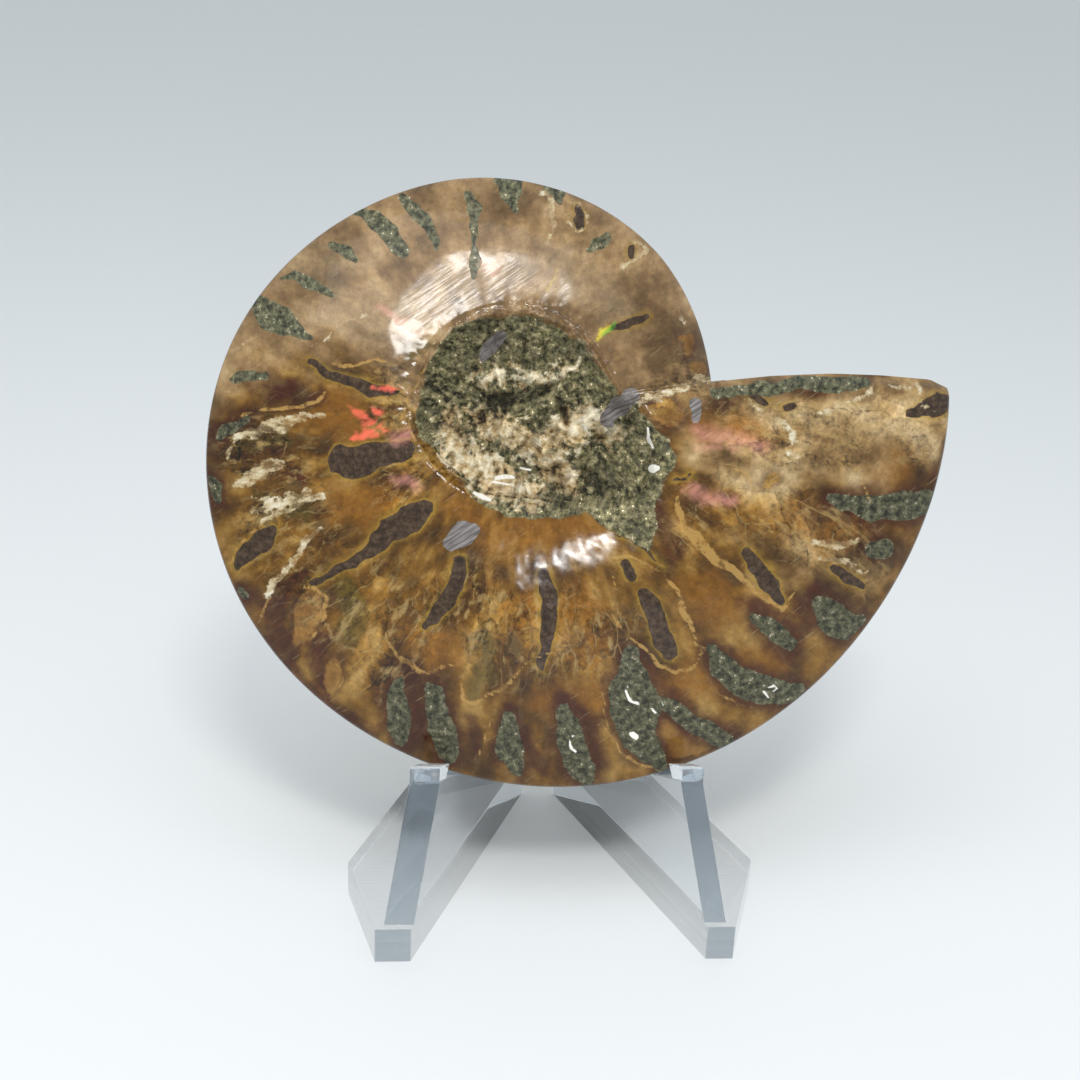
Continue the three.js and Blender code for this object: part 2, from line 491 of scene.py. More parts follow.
# Rays run round the spiral, along the cut mouth and down the seam. Each has its angle, how far out it
# ends and its share of the way across the seam
def fossilRays():
    grid = fossilGrid
    start = fossil["notchAngle"] + fossil["seamWidth"]
    angles = np.linspace(start, fossil["cornerAngle"], grid["spiralRays"])
    ends = rimRadius(angles)
    edge = np.array([acrossAndUp(fossil["cornerAngle"], ends[-1])] + fossil["cutEdge"])
    lengths = np.concatenate([[0], np.cumsum(np.hypot(*np.diff(edge, axis=0).T))])
    along = np.linspace(0, lengths[-1], grid["mouthRays"] + 1)[1:]
    across = np.interp(along, lengths, edge[:, 0])
    up = np.interp(along, lengths, edge[:, 1])
    mouthAngles = 360 + np.degrees(np.arctan2(up, across))
    mouthEnds = np.hypot(across, up)
    seam = np.linspace(0, 1, grid["seamRays"] + 2)[1:-1]
    seamAngles = mouthAngles[-1] + (start + 360 - mouthAngles[-1]) * seam
    seamEnds = mouthEnds[-1] + (ends[0] - mouthEnds[-1]) * seam
    return {
        "angle": np.concatenate([angles, mouthAngles, seamAngles, angles[:1] + 360]),
        "end": np.concatenate([ends, mouthEnds, seamEnds, ends[:1]]),
        "seam": np.concatenate([np.zeros(len(angles) + len(mouthAngles)), seam, [1.0]]),
    }


# Stations run out over the front, round the rim and back behind
def fossilSurface(rays):
    grid = fossilGrid
    angle = rays["angle"][:, None]
    end = rays["end"][:, None]
    seam = smooth(rays["seam"])[:, None]
    wallFoot = hollowEdge(angle) + shownWall["start"]
    wallTop = wallFoot + shownWall["width"]
    inner = wallFoot * np.linspace(0, 1, grid["hollowRings"] + 1)[None, :]
    wall = wallFoot + shownWall["width"] * np.linspace(0, 1, grid["wallRings"] + 1)[None, 1:]
    outward = 1 - (1 - np.linspace(0, 1, grid["flankRings"] + 1)[None, 1:]) ** grid["flankSpacing"]
    flank = wallTop + (end - wallTop) * outward
    radius = np.concatenate([inner, wall, flank], axis=1)
    outer = frontHeight(angle, radius, np.broadcast_to(rimRadius(angle), radius.shape))
    outer = outer - mouthBevel(angle, radius)
    lower = frontHeight(angle - 360, radius, np.broadcast_to(rimRadius(angle - 360), radius.shape))
    height = outer * (1 - seam) + lower * seam
    rounding = fossil["edgeRound"]
    height[:, -1:] = np.maximum(height[:, -1:] - rounding, 2 * rounding)
    tail = np.linspace(1, 0, grid["backRings"])[None, :]
    backRadius = np.concatenate([end, end, (end - rounding) * tail], axis=1)
    flatBack = np.zeros((len(end), grid["backRings"]))
    backHeight = np.concatenate([height[:, -1:] / 2, np.full_like(end, rounding), flatBack], axis=1)
    frontCount = radius.shape[1]
    radius = np.concatenate([radius, backRadius], axis=1)
    height = np.concatenate([height, backHeight], axis=1)
    return radius, height, frontCount


# Noise for relief and stains: how far apart its seeds lie, and how its finer octaves follow the first
turbulenceSetup = {
    "seedStep": (17.3, 5.1, 9.7),
    "smoothness": 0.9,
    "finer": 2.1,
    "octaves": 4,
}


# Cloudy noise about 0, in lumps of the given size
def turbulence(points, size, seed):
    setup = turbulenceSetup
    offset = Vector([seed * step for step in setup["seedStep"]])
    places = (Vector(point) / size + offset for point in points)
    rest = (setup["smoothness"], setup["finer"], setup["octaves"])
    return np.array([noise.fractal(place, *rest) for place in places])


# Crumbly rock in the hollow, a crust on the seam, chips along the hollow's brink and faint waves
def roughen(local, front, seamRow, places):
    relief = fossilRelief
    angle = np.degrees(np.arctan2(local[:, 1], local[:, 0]))
    radius = np.hypot(local[:, 0], local[:, 1])
    edge = hollowEdge(angle)
    fadeStart, fadeEnd = relief["rockFade"]
    inside = front * (1 - smooth(radius, edge + fadeStart, edge + fadeEnd))
    inside = inside * smooth(radius, 0, relief["middleFade"])
    near = np.nonzero(inside > relief["least"])[0]
    crevice = smooth(strokeField(places[near], rockCrevices), *relief["creviceEdge"])
    ledge = smooth(strokeField(places[near], rockLedges), *relief["ledgeEdge"])
    rock = relief["crumbs"] * turbulence(local[near], relief["crumbSize"], seed=1)
    rock = rock + relief["pebbles"] * turbulence(local[near], relief["pebbleSize"], seed=2)
    rock = rock - relief["creviceDepth"] * crevice + relief["ledgeHeight"] * ledge
    raised = np.zeros(len(local))
    raised[near] = rock
    rock = rock + relief["bankHeight"] * smooth(radius[near], edge[near] - relief["bankWidth"], edge[near])
    local[near, 2] += rock * inside[near]
    crust = np.nonzero(seamRow > relief["least"])[0]
    grain = turbulence(local[crust], relief["seamGrain"], seed=3) + relief["seamLift"]
    local[crust, 2] += relief["seamCrust"] * grain * seamRow[crust]
    wallTop = edge + shownWall["start"] + shownWall["width"]
    brink = front * np.exp(-((radius - wallTop) / relief["chipSize"]) ** 2)
    chipped = np.nonzero(brink > relief["least"])[0]
    chips = turbulence(local[chipped], relief["chipSize"], seed=5)
    local[chipped, 2] += relief["chips"] * chips * brink[chipped]
    flank = np.nonzero((front > 0.5) & (inside < 0.5))[0]
    local[flank, 2] += relief["ripple"] * turbulence(local[flank], relief["rippleSize"], seed=4)
    return local, raised


def grindFlats(points, places, front):
    eye = np.array(cameraPlace())
    lamp = np.array(lights["keyLamp"]["place"])
    out = np.array(fossilNormal())
    soft = grinding["softness"] * mm
    for flat in groundFlats.values():
        away = np.hypot(*(places - np.array(flat["middle"])).T)
        near = front & (away < flat["reach"])
        middle = points[near][np.argmin(away[near])] - out * flat["depth"] * mm
        toEye = (eye - middle) / np.linalg.norm(eye - middle)
        toLamp = (lamp - middle) / np.linalg.norm(lamp - middle)
        normal = (toEye + toLamp) / np.linalg.norm(toEye + toLamp) + np.array(flat["tilt"])
        above = (points[near] - middle) @ normal / (out @ normal)
        ground = soft * np.logaddexp(0, above / soft) * grinding["share"]
        ground = ground * (1 - smooth(away[near], flat["reach"] * grinding["fade"], flat["reach"]))
        points[near] -= ground[:, None] * out
    return points


# Markings, as strokes of (x, y, half width), read off in the photograph's pixels.
# They fall on the fossil from where the photograph was taken
picturePixelsPerMm = 7.5

# Chambers filled with speckled grey-green sediment
matrixLenses = {
    "topWedge": [(507, 180, 13), (512, 192, 10), (516, 210, 4)],
    "topSliver": [(546, 190, 5), (555, 194, 7), (557, 203, 4)],
    "neck": [(467, 194, 4), (473, 208, 6), (475, 224, 4.5), (474, 245, 2), (476, 262, 6.5), (476, 276, 4)],
    "thirdCurve": [(403, 197, 5), (417, 209, 6), (428, 225, 7), (434, 240, 5), (435, 248, 2.5)],
    "bigCurve": [(357, 213, 5), (374, 221, 9), (390, 235, 10), (400, 248, 8), (404, 255, 4)],
    "smallCurve": [(331, 245, 4), (342, 248, 6), (352, 254, 6.5), (358, 261, 4)],
    "leftCurve": [(282, 280, 2), (296, 277, 5), (312, 283, 6.5), (326, 290, 5), (332, 296, 2)],
    "leftSpeckled": [(258, 304, 8), (268, 316, 14), (284, 322, 13), (300, 332, 6), (308, 335, 3)],
    "leftGrey": [(234, 381, 2.5), (249, 375, 4.5), (264, 373, 2.5)],
    "leftLower": [(216, 441, 4), (229, 430, 5), (246, 419, 4)],
    "leftRim": [(211, 476, 3), (217, 486, 6.5), (217, 498, 5)],
    "lowLeftRim": [(239, 593, 4), (243, 600, 4)],
    "greenEye": [(588, 250, 3), (596, 243, 8), (602, 236, 5)],
    "bottomFirst": [(398, 683, 6), (397, 700, 10), (396, 718, 13), (399, 736, 9), (401, 743, 4)],
    "bottomSecond": [(437, 691, 9), (439, 710, 12), (443, 732, 13), (447, 750, 11), (450, 757, 7)],
    "bottomThird": [(507, 719, 8), (507, 735, 13), (511, 752, 14), (516, 768, 9)],
    "bottomFourth": [(564, 711, 8), (568, 728, 12), (574, 748, 14), (583, 768, 12), (588, 780, 6)],
    "bottomBig": [(628, 655, 9), (632, 672, 13), (634, 690, 22), (632, 710, 24), (637, 732, 17),
                  (650, 753, 12), (657, 768, 6)],
    "bottomBranch": [(655, 702, 7), (672, 708, 9), (692, 722, 11), (712, 735, 10), (726, 741, 6)],
    "bottomCrescent": [(710, 650, 6), (720, 667, 11), (740, 683, 13), (765, 692, 14), (785, 692, 12),
                       (800, 688, 6)],
    "rightWedge": [(820, 605, 9), (835, 620, 16), (846, 626, 14), (860, 620, 6)],
    "rightSmall": [(874, 548, 9), (884, 549, 10)],
    "rightLens": [(831, 499, 4), (848, 504, 9), (870, 508, 12), (895, 507, 13), (920, 504, 13),
                  (929, 497, 7)],
    "haloLens": [(754, 616, 5), (766, 625, 8), (779, 636, 9), (788, 646, 5)],
    "mouthBand": [(716, 393, 5), (745, 390, 6), (790, 386, 6), (830, 384, 8), (866, 381, 4)],
}

# Dark chambers, holes and cracks
darkLenses = {
    "purpleStreak": [(311, 361, 4), (328, 373, 4), (348, 383, 6), (370, 388, 6), (398, 391, 3)],
    "darkBlob": [(343, 461, 15), (365, 458, 16), (390, 454, 11), (409, 449, 9)],
    "bigDiagonal": [(424, 507, 9), (409, 518, 13), (390, 530, 11), (368, 552, 7), (340, 567, 4),
                    (310, 583, 3)],
    "leftPurple": [(238, 566, 4), (250, 553, 8), (263, 539, 9), (270, 532, 6)],
    "cleft": [(461, 562, 8), (454, 583, 9), (445, 603, 9), (434, 617, 6), (426, 625, 3)],
    "cleftUpright": [(543, 575, 7), (548, 598, 9), (549, 625, 7), (547, 650, 7), (541, 668, 5)],
    "outlinedLens": [(644, 595, 7), (653, 615, 9), (661, 638, 10), (667, 656, 6)],
    "outlinedTip": [(624, 564, 5), (631, 578, 5)],
    "wedgeLens": [(745, 550, 4), (756, 565, 6), (769, 584, 7), (780, 600, 4)],
    "mauveCorner": [(912, 414, 6), (928, 408, 10), (942, 403, 8)],
    "mouthBlotch": [(755, 397, 4), (765, 400, 4)],
    "mouthBlotchTwo": [(785, 408, 3), (793, 410, 3)],
    "brownHole": [(576, 208, 4), (577.5, 222, 4)],
    "creamHole": [(632, 246, 4), (632, 257, 4)],
    "feathered": [(835, 570, 4), (848, 578, 6), (862, 585, 3)],
    "shoulderGloom": [(610, 330, 2), (628, 324, 5), (646, 316, 3)],
    "upperCrack": [(671, 481, 1), (682, 477, 1.8), (690, 470, 1)],
    "lowerCrack": [(612, 533, 0.8), (630, 539, 1.4), (648, 552, 1.4), (663, 567, 0.8)],
}

# Chambers that show through as a soft olive shade
oliveLenses = {
    "oliveCleft": [(493, 637, 4), (488, 655, 8), (483, 675, 13), (474, 692, 8)],
    "amberPiece": [(410, 352, 7), (424, 347, 9), (434, 346, 6)],
    "leftShade": [(262, 505, 8), (285, 503, 9), (310, 515, 9)],
    "shadeByHollow": [(342, 588, 12), (354, 610, 14), (348, 634, 10)],
    "leftLens": [(235, 449, 7), (255, 444, 8), (282, 440, 6)],
}

# Grey crystals with fine scratches
greyPatches = {
    "lilacOval": [(455, 542, 9), (465, 534, 11), (472, 530, 7)],
    "scratchedPatch": [(609, 424, 8), (617, 410, 12), (630, 399, 9)],
    "streakPiece": [(697, 405, 7), (698, 420, 5)],
    "crystal": [(484, 356, 3), (491, 345, 7), (499, 336, 6)],
}

# Pieces of thicker tan shell
tanPieces = {
    "leftBig": [(313, 596, 8), (309, 614, 13), (300, 632, 10), (294, 642, 5)],
    "leftSmall": [(331, 664, 7), (330, 680, 9), (331, 692, 4)],
    "bottom": [(664, 730, 9), (677, 744, 14), (695, 748, 10), (708, 748, 4)],
    "notchUpper": [(684, 338, 5), (690, 340, 6), (688, 352, 4)],
    "notchLower": [(694, 366, 5), (703, 370, 5)],
    "ochreSpot": [(766, 483, 5), (771, 478, 5)],
    "notchOval": [(662, 408, 11), (672, 416, 11)],
}

# Cream veins and crumbs
creamVeins = {
    "mouthVein": [(749, 402, 2), (768, 411, 2.5), (786, 423, 3), (795, 441, 2), (789, 456, 1.5),
                  (801, 460, 1.5)],
    "mouthEdge": [(875, 383, 1.5), (866, 393, 1.5), (847, 402, 1.5), (826, 411, 2), (812, 414, 1)],
    "cornerVein": [(890, 384, 1), (905, 392, 1.5), (915, 386, 1.5), (921, 405, 2), (934, 414, 1)],
    "leftTop": [(228, 456, 1.5), (233, 445, 1.5), (246, 437, 2), (264, 434, 2.5), (284, 431, 2.5),
                (296, 425, 2)],
    "leftFirst": [(238, 486, 3), (251, 484, 4), (266, 476, 4), (279, 463, 2.5), (289, 458, 1.5)],
    "leftPatch": [(238, 484, 4), (254, 476, 7), (272, 468, 7), (286, 461, 3)],
    "leftWide": [(236, 438, 3), (262, 430, 5), (290, 424, 5), (320, 414, 3)],
    "leftLow": [(250, 512, 2), (268, 506, 5), (290, 500, 5), (312, 494, 2)],
    "leftSecond": [(248, 501, 1.5), (266, 499, 1.5), (284, 494, 1.8), (297, 494, 1.5), (305, 489, 1.5)],
    "leftThird": [(261, 522, 1.5), (274, 514, 2), (289, 507, 3), (307, 501, 4), (325, 498, 3)],
    "leftFifth": [(264, 599, 2.5), (274, 583, 3), (287, 570, 3), (299, 555, 2.5), (307, 540, 2.5),
                  (322, 528, 1)],
    "leftRimLine": [(231, 351, 1.2), (244, 344, 1.2), (258, 336, 1)],
    "scratchLine": [(309, 342, 0.7), (340, 327, 0.6), (379, 308, 0.6)],
    "seamCrust": [(712, 384, 3), (702, 377, 3.5), (690, 382, 4), (676, 388, 4), (662, 393, 3.5),
                  (648, 397, 3.5), (640, 408, 3), (636, 428, 2)],
    "featherOne": [(815, 540, 2), (838, 545, 4), (858, 538, 3)],
    "featherTwo": [(822, 560, 2), (845, 562, 4), (866, 572, 2)],
    "topRing": [(570, 205, 1), (576, 202, 1), (583, 210, 1.2), (584, 224, 1), (578, 229, 1.2),
                (570, 220, 1)],
    "holeRing": [(627, 240, 1.2), (640, 238, 1.5), (648, 250, 2), (636, 262, 2), (627, 266, 2.5)],
    "upperCrack": [(541, 194, 1.4), (550, 206, 1.6), (556, 222, 2), (553, 236, 2.2), (547, 246, 1.6)],
    "cornerFleck": [(680, 312, 1.5), (684, 322, 1)],
}

# Golden outlines of the lenses and long creases
goldenLines = {
    "wedgeEdge": [(679, 500, 2.5), (687, 528, 4), (699, 543, 5), (728, 566, 4.5), (750, 583, 3),
                  (770, 599, 2.5), (782, 610, 2), (787, 600, 1.5), (795, 585, 2.5)],
    "lensOutline": [(614, 559, 2), (626, 555, 2), (647, 563, 1.2), (664, 578, 1), (677, 596, 2.5),
                    (690, 622, 3), (694, 645, 2), (704, 650, 2), (694, 664, 2), (686, 672, 1.5),
                    (672, 673, 1.5), (658, 666, 1.8), (644, 649, 2.2), (626, 637, 2), (617, 622, 1.5),
                    (613, 600, 1.2), (612, 575, 1)],
    "rightHook": [(840, 455, 2.2), (849, 464, 1.5), (858, 476, 1.2), (865, 493, 1.5), (871, 505, 1)],
    "rightArc": [(720, 465, 1), (735, 468, 1.5), (749, 478, 1.7), (758, 496, 1.7), (761, 514, 1.2),
                 (770, 528, 2)],
    "bottomWave": [(384, 632, 1.2), (387, 645, 1.5), (394, 657, 1.8), (402, 661, 1.8), (412, 667, 1.8),
                   (420, 674, 1.8), (432, 674, 1.8), (443, 667, 1.4), (455, 665, 1)],
    "oliveOutline": [(469, 660, 1), (465, 683, 1.4), (465, 700, 1.6), (471, 703, 1.6), (481, 700, 1.6),
                     (498, 688, 1.8), (509, 680, 1.5), (519, 670, 1.2), (534, 660, 1)],
    "creaseRight": [(537, 657, 1), (557, 654, 1.2), (570, 647, 1.3), (581, 645, 1)],
    "leftFourth": [(233, 563, 1), (241, 547, 1), (251, 534, 1), (264, 522, 1)],
    "leftSixth": [(257, 621, 1.2), (261, 609, 1.5), (269, 598, 1.5)],
    "tanOutline": [(303, 590, 1.8), (313, 587, 1.8), (326, 599, 1.8), (325, 614, 1.8), (319, 628, 1.5),
                   (308, 640, 1.2)],
    "tanSmallOutline": [(326, 660, 1), (338, 664, 1.2), (339, 682, 1.2), (334, 694, 1)],
    "leftLong": [(240, 415, 1.5), (262, 407, 1.5), (282, 412, 2.5), (297, 409, 2.5), (314, 402, 2),
                 (326, 393, 1.5)],
    "hollowRim": [(428, 371, 1.5), (418, 383, 1.5), (411, 397, 1.2), (406, 414, 1.2), (411, 427, 1.2),
                  (418, 439, 1.2), (425, 458, 1.2), (438, 469, 1.2), (452, 475, 1.2), (462, 485, 1.2),
                  (479, 500, 1.5)],
    "bottomLeftLine": [(603, 692, 1), (601, 713, 1.2), (608, 734, 1.4), (623, 752, 1.5), (641, 766, 1.5),
                       (658, 772, 1.2)],
    "bottomRightLine": [(705, 676, 1), (718, 690, 1.2), (735, 702, 1.3), (758, 713, 1)],
    "neckLine": [(402, 358, 1), (380, 360, 1), (352, 368, 1.2), (338, 364, 2), (330, 359, 1)],
    "bottomShelf": [(493, 709, 1), (480, 745, 1.2), (470, 770, 1)],
}

# Small white shells in the sediment
whiteShells = {
    "shellCurveOne": [(628, 684, 1), (626, 692, 1.3), (630, 701, 1.3), (640, 704, 1.5)],
    "shellCurveTwo": [(658, 692, 1), (663, 700, 1.2), (662, 708, 1)],
    "shellCurveThree": [(651, 708, 1), (657, 714, 1.4)],
    "bottomCurl": [(577, 733, 1), (571, 738, 1.4), (570, 747, 1.4), (576, 752, 1.2)],
    "crescentRing": [(773, 685, 1.1), (769, 689, 1.1), (773, 693, 1.1), (777, 689, 1.1), (773, 685, 1.1)],
    "crescentArc": [(764, 685, 0.8), (763, 692, 1), (768, 698, 0.8)],
    "hollowSliver": [(495, 479, 2), (505, 477, 2.5), (513, 478, 1.5)],
    "hollowLip": [(474, 493, 1.2), (482, 497, 2), (490, 500, 1.5)],
    "hollowDot": [(650, 470, 4.5), (656, 469, 2)],
    "hollowTick": [(646, 429, 1.5), (645, 440, 1.8), (650, 449, 1.5)],
    "hollowFleck": [(520, 468, 1), (530, 470, 1.2)],
    "bigSpot": [(632, 734, 3), (636, 737, 3)],
    "crestOne": [(492, 483, 1.2), (512, 486, 1)],
    "crestTwo": [(583, 425, 1.2), (590, 436, 1)],
}

# Red-brown stains
redStains = {
    "leftBand": [(300, 578, 7), (282, 594, 10), (272, 612, 11), (278, 634, 10), (290, 655, 7)],
    "lowerBand": [(318, 640, 8), (316, 662, 9), (322, 684, 7)],
    "leftRimStain": [(262, 640, 5), (290, 672, 6), (330, 704, 7), (370, 735, 6)],
    "firstBar": [(416, 680, 6), (417, 710, 7), (420, 745, 6)],
    "firstTop": [(385, 668, 4), (400, 668, 4), (416, 674, 5)],
    "secondBar": [(470, 720, 4), (475, 750, 5)],
    "thirdHalo": [(507, 706, 6), (528, 735, 5), (540, 770, 6)],
    "fourthHalo": [(560, 695, 6), (588, 720, 6), (602, 760, 5)],
    "rightHalo": [(742, 600, 6), (770, 610, 8), (795, 640, 6)],
    "rightBrown": [(878, 520, 4), (868, 488, 4)],
    "rightLow": [(815, 590, 6), (800, 610, 6), (805, 630, 7)],
    "mauveBand": [(650, 510, 12), (665, 530, 12), (675, 548, 10)],
    "rimRight": [(944, 440, 4), (936, 476, 4)],
    "leftRust": [(290, 466, 8), (300, 478, 6)],
    "leftOval": [(236, 454, 4), (256, 448, 7), (280, 444, 7)],
    "leftBlotch": [(294, 410, 4), (310, 401, 5), (322, 394, 3)],
    "midLeft": [(268, 396, 3), (296, 388, 4)],
}

# Where the amber is painted brighter: partly its own colour, and on the crest and by the mouth a painted
# glow where the lamps catch it
amberGlow = {
    "leftGlow": [(340, 500, 16), (365, 505, 20), (385, 500, 14)],
    "leftUpper": [(322, 420, 14), (340, 405, 14), (345, 432, 12)],
    "lowerLeft": [(440, 650, 16), (425, 640, 14)],
    "crest": [(455, 505, 12), (500, 535, 14), (560, 530, 14), (600, 530, 10)],
    "lensSide": [(700, 590, 16), (730, 610, 14), (760, 600, 8)],
    "lowerMid": [(580, 610, 20), (590, 640, 20), (520, 610, 16)],
    "bottomTan": [(540, 700, 10), (590, 700, 10), (680, 690, 12), (770, 660, 10)],
    "rightMid": [(800, 520, 16), (830, 540, 10), (900, 470, 16)],
    "rightPink": [(700, 425, 10), (740, 432, 10), (780, 440, 8)],
}

# Painted sheen: pale patches round the ground flats and on the top-left rim, where soft glare falls
paintedSheen = {
    "leftOfFlats": [(310, 320, 10), (350, 312, 16), (400, 320, 20)],
    "topGold": [(284, 270, 8), (310, 256, 11), (345, 262, 7)],
    "rightOfFlats": [(560, 268, 14), (596, 284, 16), (624, 312, 14)],
}

# Painted shade: darker brown down the right of the top whorl
paintedShade = {
    "outer": [(640, 286, 10), (662, 330, 14), (664, 366, 12)],
}

# Flashes of the shell's own lustre, in four colours; the pink one is partly a painted sheen
coralFlash = {
    "upper": [(346, 409, 1.5), (356, 411, 3.5), (368, 415, 2.5)],
    "upperSmall": [(374, 408, 2), (381, 412, 2.5)],
    "lower": [(352, 435, 2), (366, 431, 5.5), (376, 436, 3)],
    "lowerSmall": [(380, 427, 3), (387, 431, 2)],
    "middle": [(362, 421, 1.5), (374, 422, 2.5)],
    "streak": [(372, 388, 1), (388, 386, 1.2), (400, 388, 0.8)],
}

# Pink lustre, partly a painted sheen on the flats and crests where the lamps glint
pinkLustreAndSheen = {
    "shoulder": [(377, 305, 1.5), (396, 320, 2.5), (415, 334, 2)],
    "neckDrop": [(484, 262, 2), (492, 268, 3)],
    "rightSheen": [(697, 430, 4), (730, 437, 6), (764, 446, 4)],
    "rightBar": [(700, 446, 1.2), (738, 448, 1.2)],
    "lowSheen": [(690, 490, 4), (706, 494, 6), (730, 503, 6)],
    "byHollow": [(395, 440, 5), (408, 434, 5)],
    "leftTint": [(398, 482, 4), (412, 486, 4)],
}

goldFlash = {
    "sliver": [(557, 271, 1), (552, 282, 2), (546, 294, 1)],
    "spectrum": [(596, 342, 1.5), (602, 332, 5), (610, 326, 3)],
}

greenFlash = {
    "spectrumEdge": [(603, 334, 2), (611, 328, 2.5), (615, 323, 1.5)],
}

# The ground flats, dull from brushing
scuffs = {
    "shoulderFacet": [(402, 312, 12), (425, 300, 24), (448, 284, 20), (462, 276, 12)],
    "topFacet": [(478, 285, 18), (515, 280, 20), (548, 275, 20)],
    "topSpread": [(570, 290, 16), (600, 300, 16)],
}

# Where the shell is shattered into plates
crackled = {
    "left": [(235, 450, 14), (262, 455, 22), (290, 470, 18)],
    "leftLow": [(270, 520, 20), (320, 530, 20), (300, 570, 20)],
    "lower": [(340, 610, 30), (400, 610, 36), (380, 660, 26)],
    "bottomMid": [(470, 600, 30), (520, 640, 34), (590, 640, 34)],
    "right": [(760, 430, 26), (800, 440, 30), (850, 430, 26)],
    "rightMid": [(700, 520, 20), (740, 500, 24), (800, 520, 30), (850, 550, 26)],
    "rightCorner": [(890, 400, 18), (915, 430, 18)],
    "notch": [(650, 400, 10), (690, 390, 12)],
    "leftMid": [(390, 380, 10), (395, 470, 12), (410, 490, 12)],
}

# Cream stone in the hollow, and the crevices and ledges of its rock
creamRock = {
    "floor": [(450, 420, 10), (458, 452, 18), (490, 476, 18), (530, 496, 14)],
    "ledge": [(478, 378, 5), (500, 374, 5), (540, 378, 5), (570, 372, 5)],
    "pinkish": [(556, 440, 16), (590, 418, 14), (612, 440, 10)],
    "under": [(480, 415, 10), (505, 430, 16), (535, 445, 16), (566, 478, 14)],
}

rockCrevices = {
    "underLedge": [(484, 397, 4), (505, 400, 6), (530, 394, 6), (550, 388, 3)],
    "lowRight": [(584, 474, 3), (602, 488, 5)],
    "byShell": [(560, 400, 3), (566, 420, 3)],
}

rockLedges = {
    "inner": [(478, 378, 3), (500, 372, 4), (540, 378, 4), (574, 371, 4)],
    "brow": [(500, 355, 4), (530, 352, 5), (560, 358, 4)],
    "shellBits": [(575, 432, 5), (592, 414, 5), (610, 430, 5)],
    "lower": [(500, 456, 4), (540, 464, 4), (580, 452, 4)],
}

# The edge of the rough rock
hollowOutline = [
    (445, 334), (430, 362), (418, 405), (417, 426), (430, 450), (451, 473), (478, 500), (512, 521),
    (569, 517), (584, 510), (620, 535), (649, 550), (657, 520), (659, 489), (678, 458), (660, 430),
    (640, 410), (615, 395), (600, 373), (575, 342), (555, 328), (525, 319), (490, 320), (465, 326),
]

# Paler shell by the mouth
mouthTint = {
    "mouth": [(740, 440, 40), (820, 440, 50), (900, 430, 45)],
    "low": [(800, 540, 30), (860, 560, 25)],
}

# Where the grey-brown shell above meets the amber below
amberLine = [
    (205, 395), (330, 345), (440, 420), (500, 470), (600, 470), (660, 400), (760, 395), (960, 395),
]

# Stands for a place that is far outside every stroke
farOutside = 60.0


def awayFromLine(places, start, end):
    start = np.array(start)
    run = np.array(end) - start
    t = np.clip((places - start) @ run / (run @ run), 0, 1)
    return t, np.hypot(*(places - start - t[:, None] * run).T)


# How far inside the nearest stroke each place is, in mm, and negative outside
def strokeField(places, strokes):
    best = np.full(len(places), -farOutside)
    for stroke in strokes.values():
        for (ax, ay, ar), (bx, by, br) in zip(stroke, stroke[1:]):
            t, distance = awayFromLine(places, (ax, ay), (bx, by))
            best = np.maximum(best, ar + (br - ar) * t - distance)
    return best / picturePixelsPerMm


# The same for a closed outline
def outlineField(places, outline):
    best = np.full(len(places), np.inf)
    inside = np.zeros(len(places), dtype=bool)
    x, y = places.T
    for (ax, ay), (bx, by) in zip(outline, outline[1:] + outline[:1]):
        best = np.minimum(best, awayFromLine(places, (ax, ay), (bx, by))[1])
        if ay != by:
            inside ^= ((ay > y) != (by > y)) & (x < (bx - ax) * (y - ay) / (by - ay) + ax)
    return np.where(inside, best, -best) / picturePixelsPerMm


# Strokes wander a little, as natural lines do, by steps of a size and an amount in pixels
strokeWander = [
    {"size": 34, "amount": 5.5, "seed": 3},
    {"size": 12, "amount": 3, "seed": 8},
]

# How far apart in the noise the seeds and the two directions lie
wanderSpacing = {"seed": 3.17, "axis": 8.3}


def wander(places):
    moved = places.copy()
    for step in strokeWander:
        for axis in (0, 1):
            depth = step["seed"] * wanderSpacing["seed"] + axis * wanderSpacing["axis"]
            push = [noise.noise(Vector((x / step["size"], y / step["size"], depth))) for x, y in places]
            moved[:, axis] += step["amount"] * np.array(push)
    return moved


def toneOf(values, stops):
    where = [place for place, _ in stops]
    channels = zip(*(colour(text)[:3] for _, text in stops))
    return np.stack([np.interp(values, where, channel) for channel in channels], axis=1)


def blend(first, second, share):
    return first + (second - first) * share[:, None]


def stain(ground, text, share):
    return blend(ground, np.array(colour(text)[:3]), share)


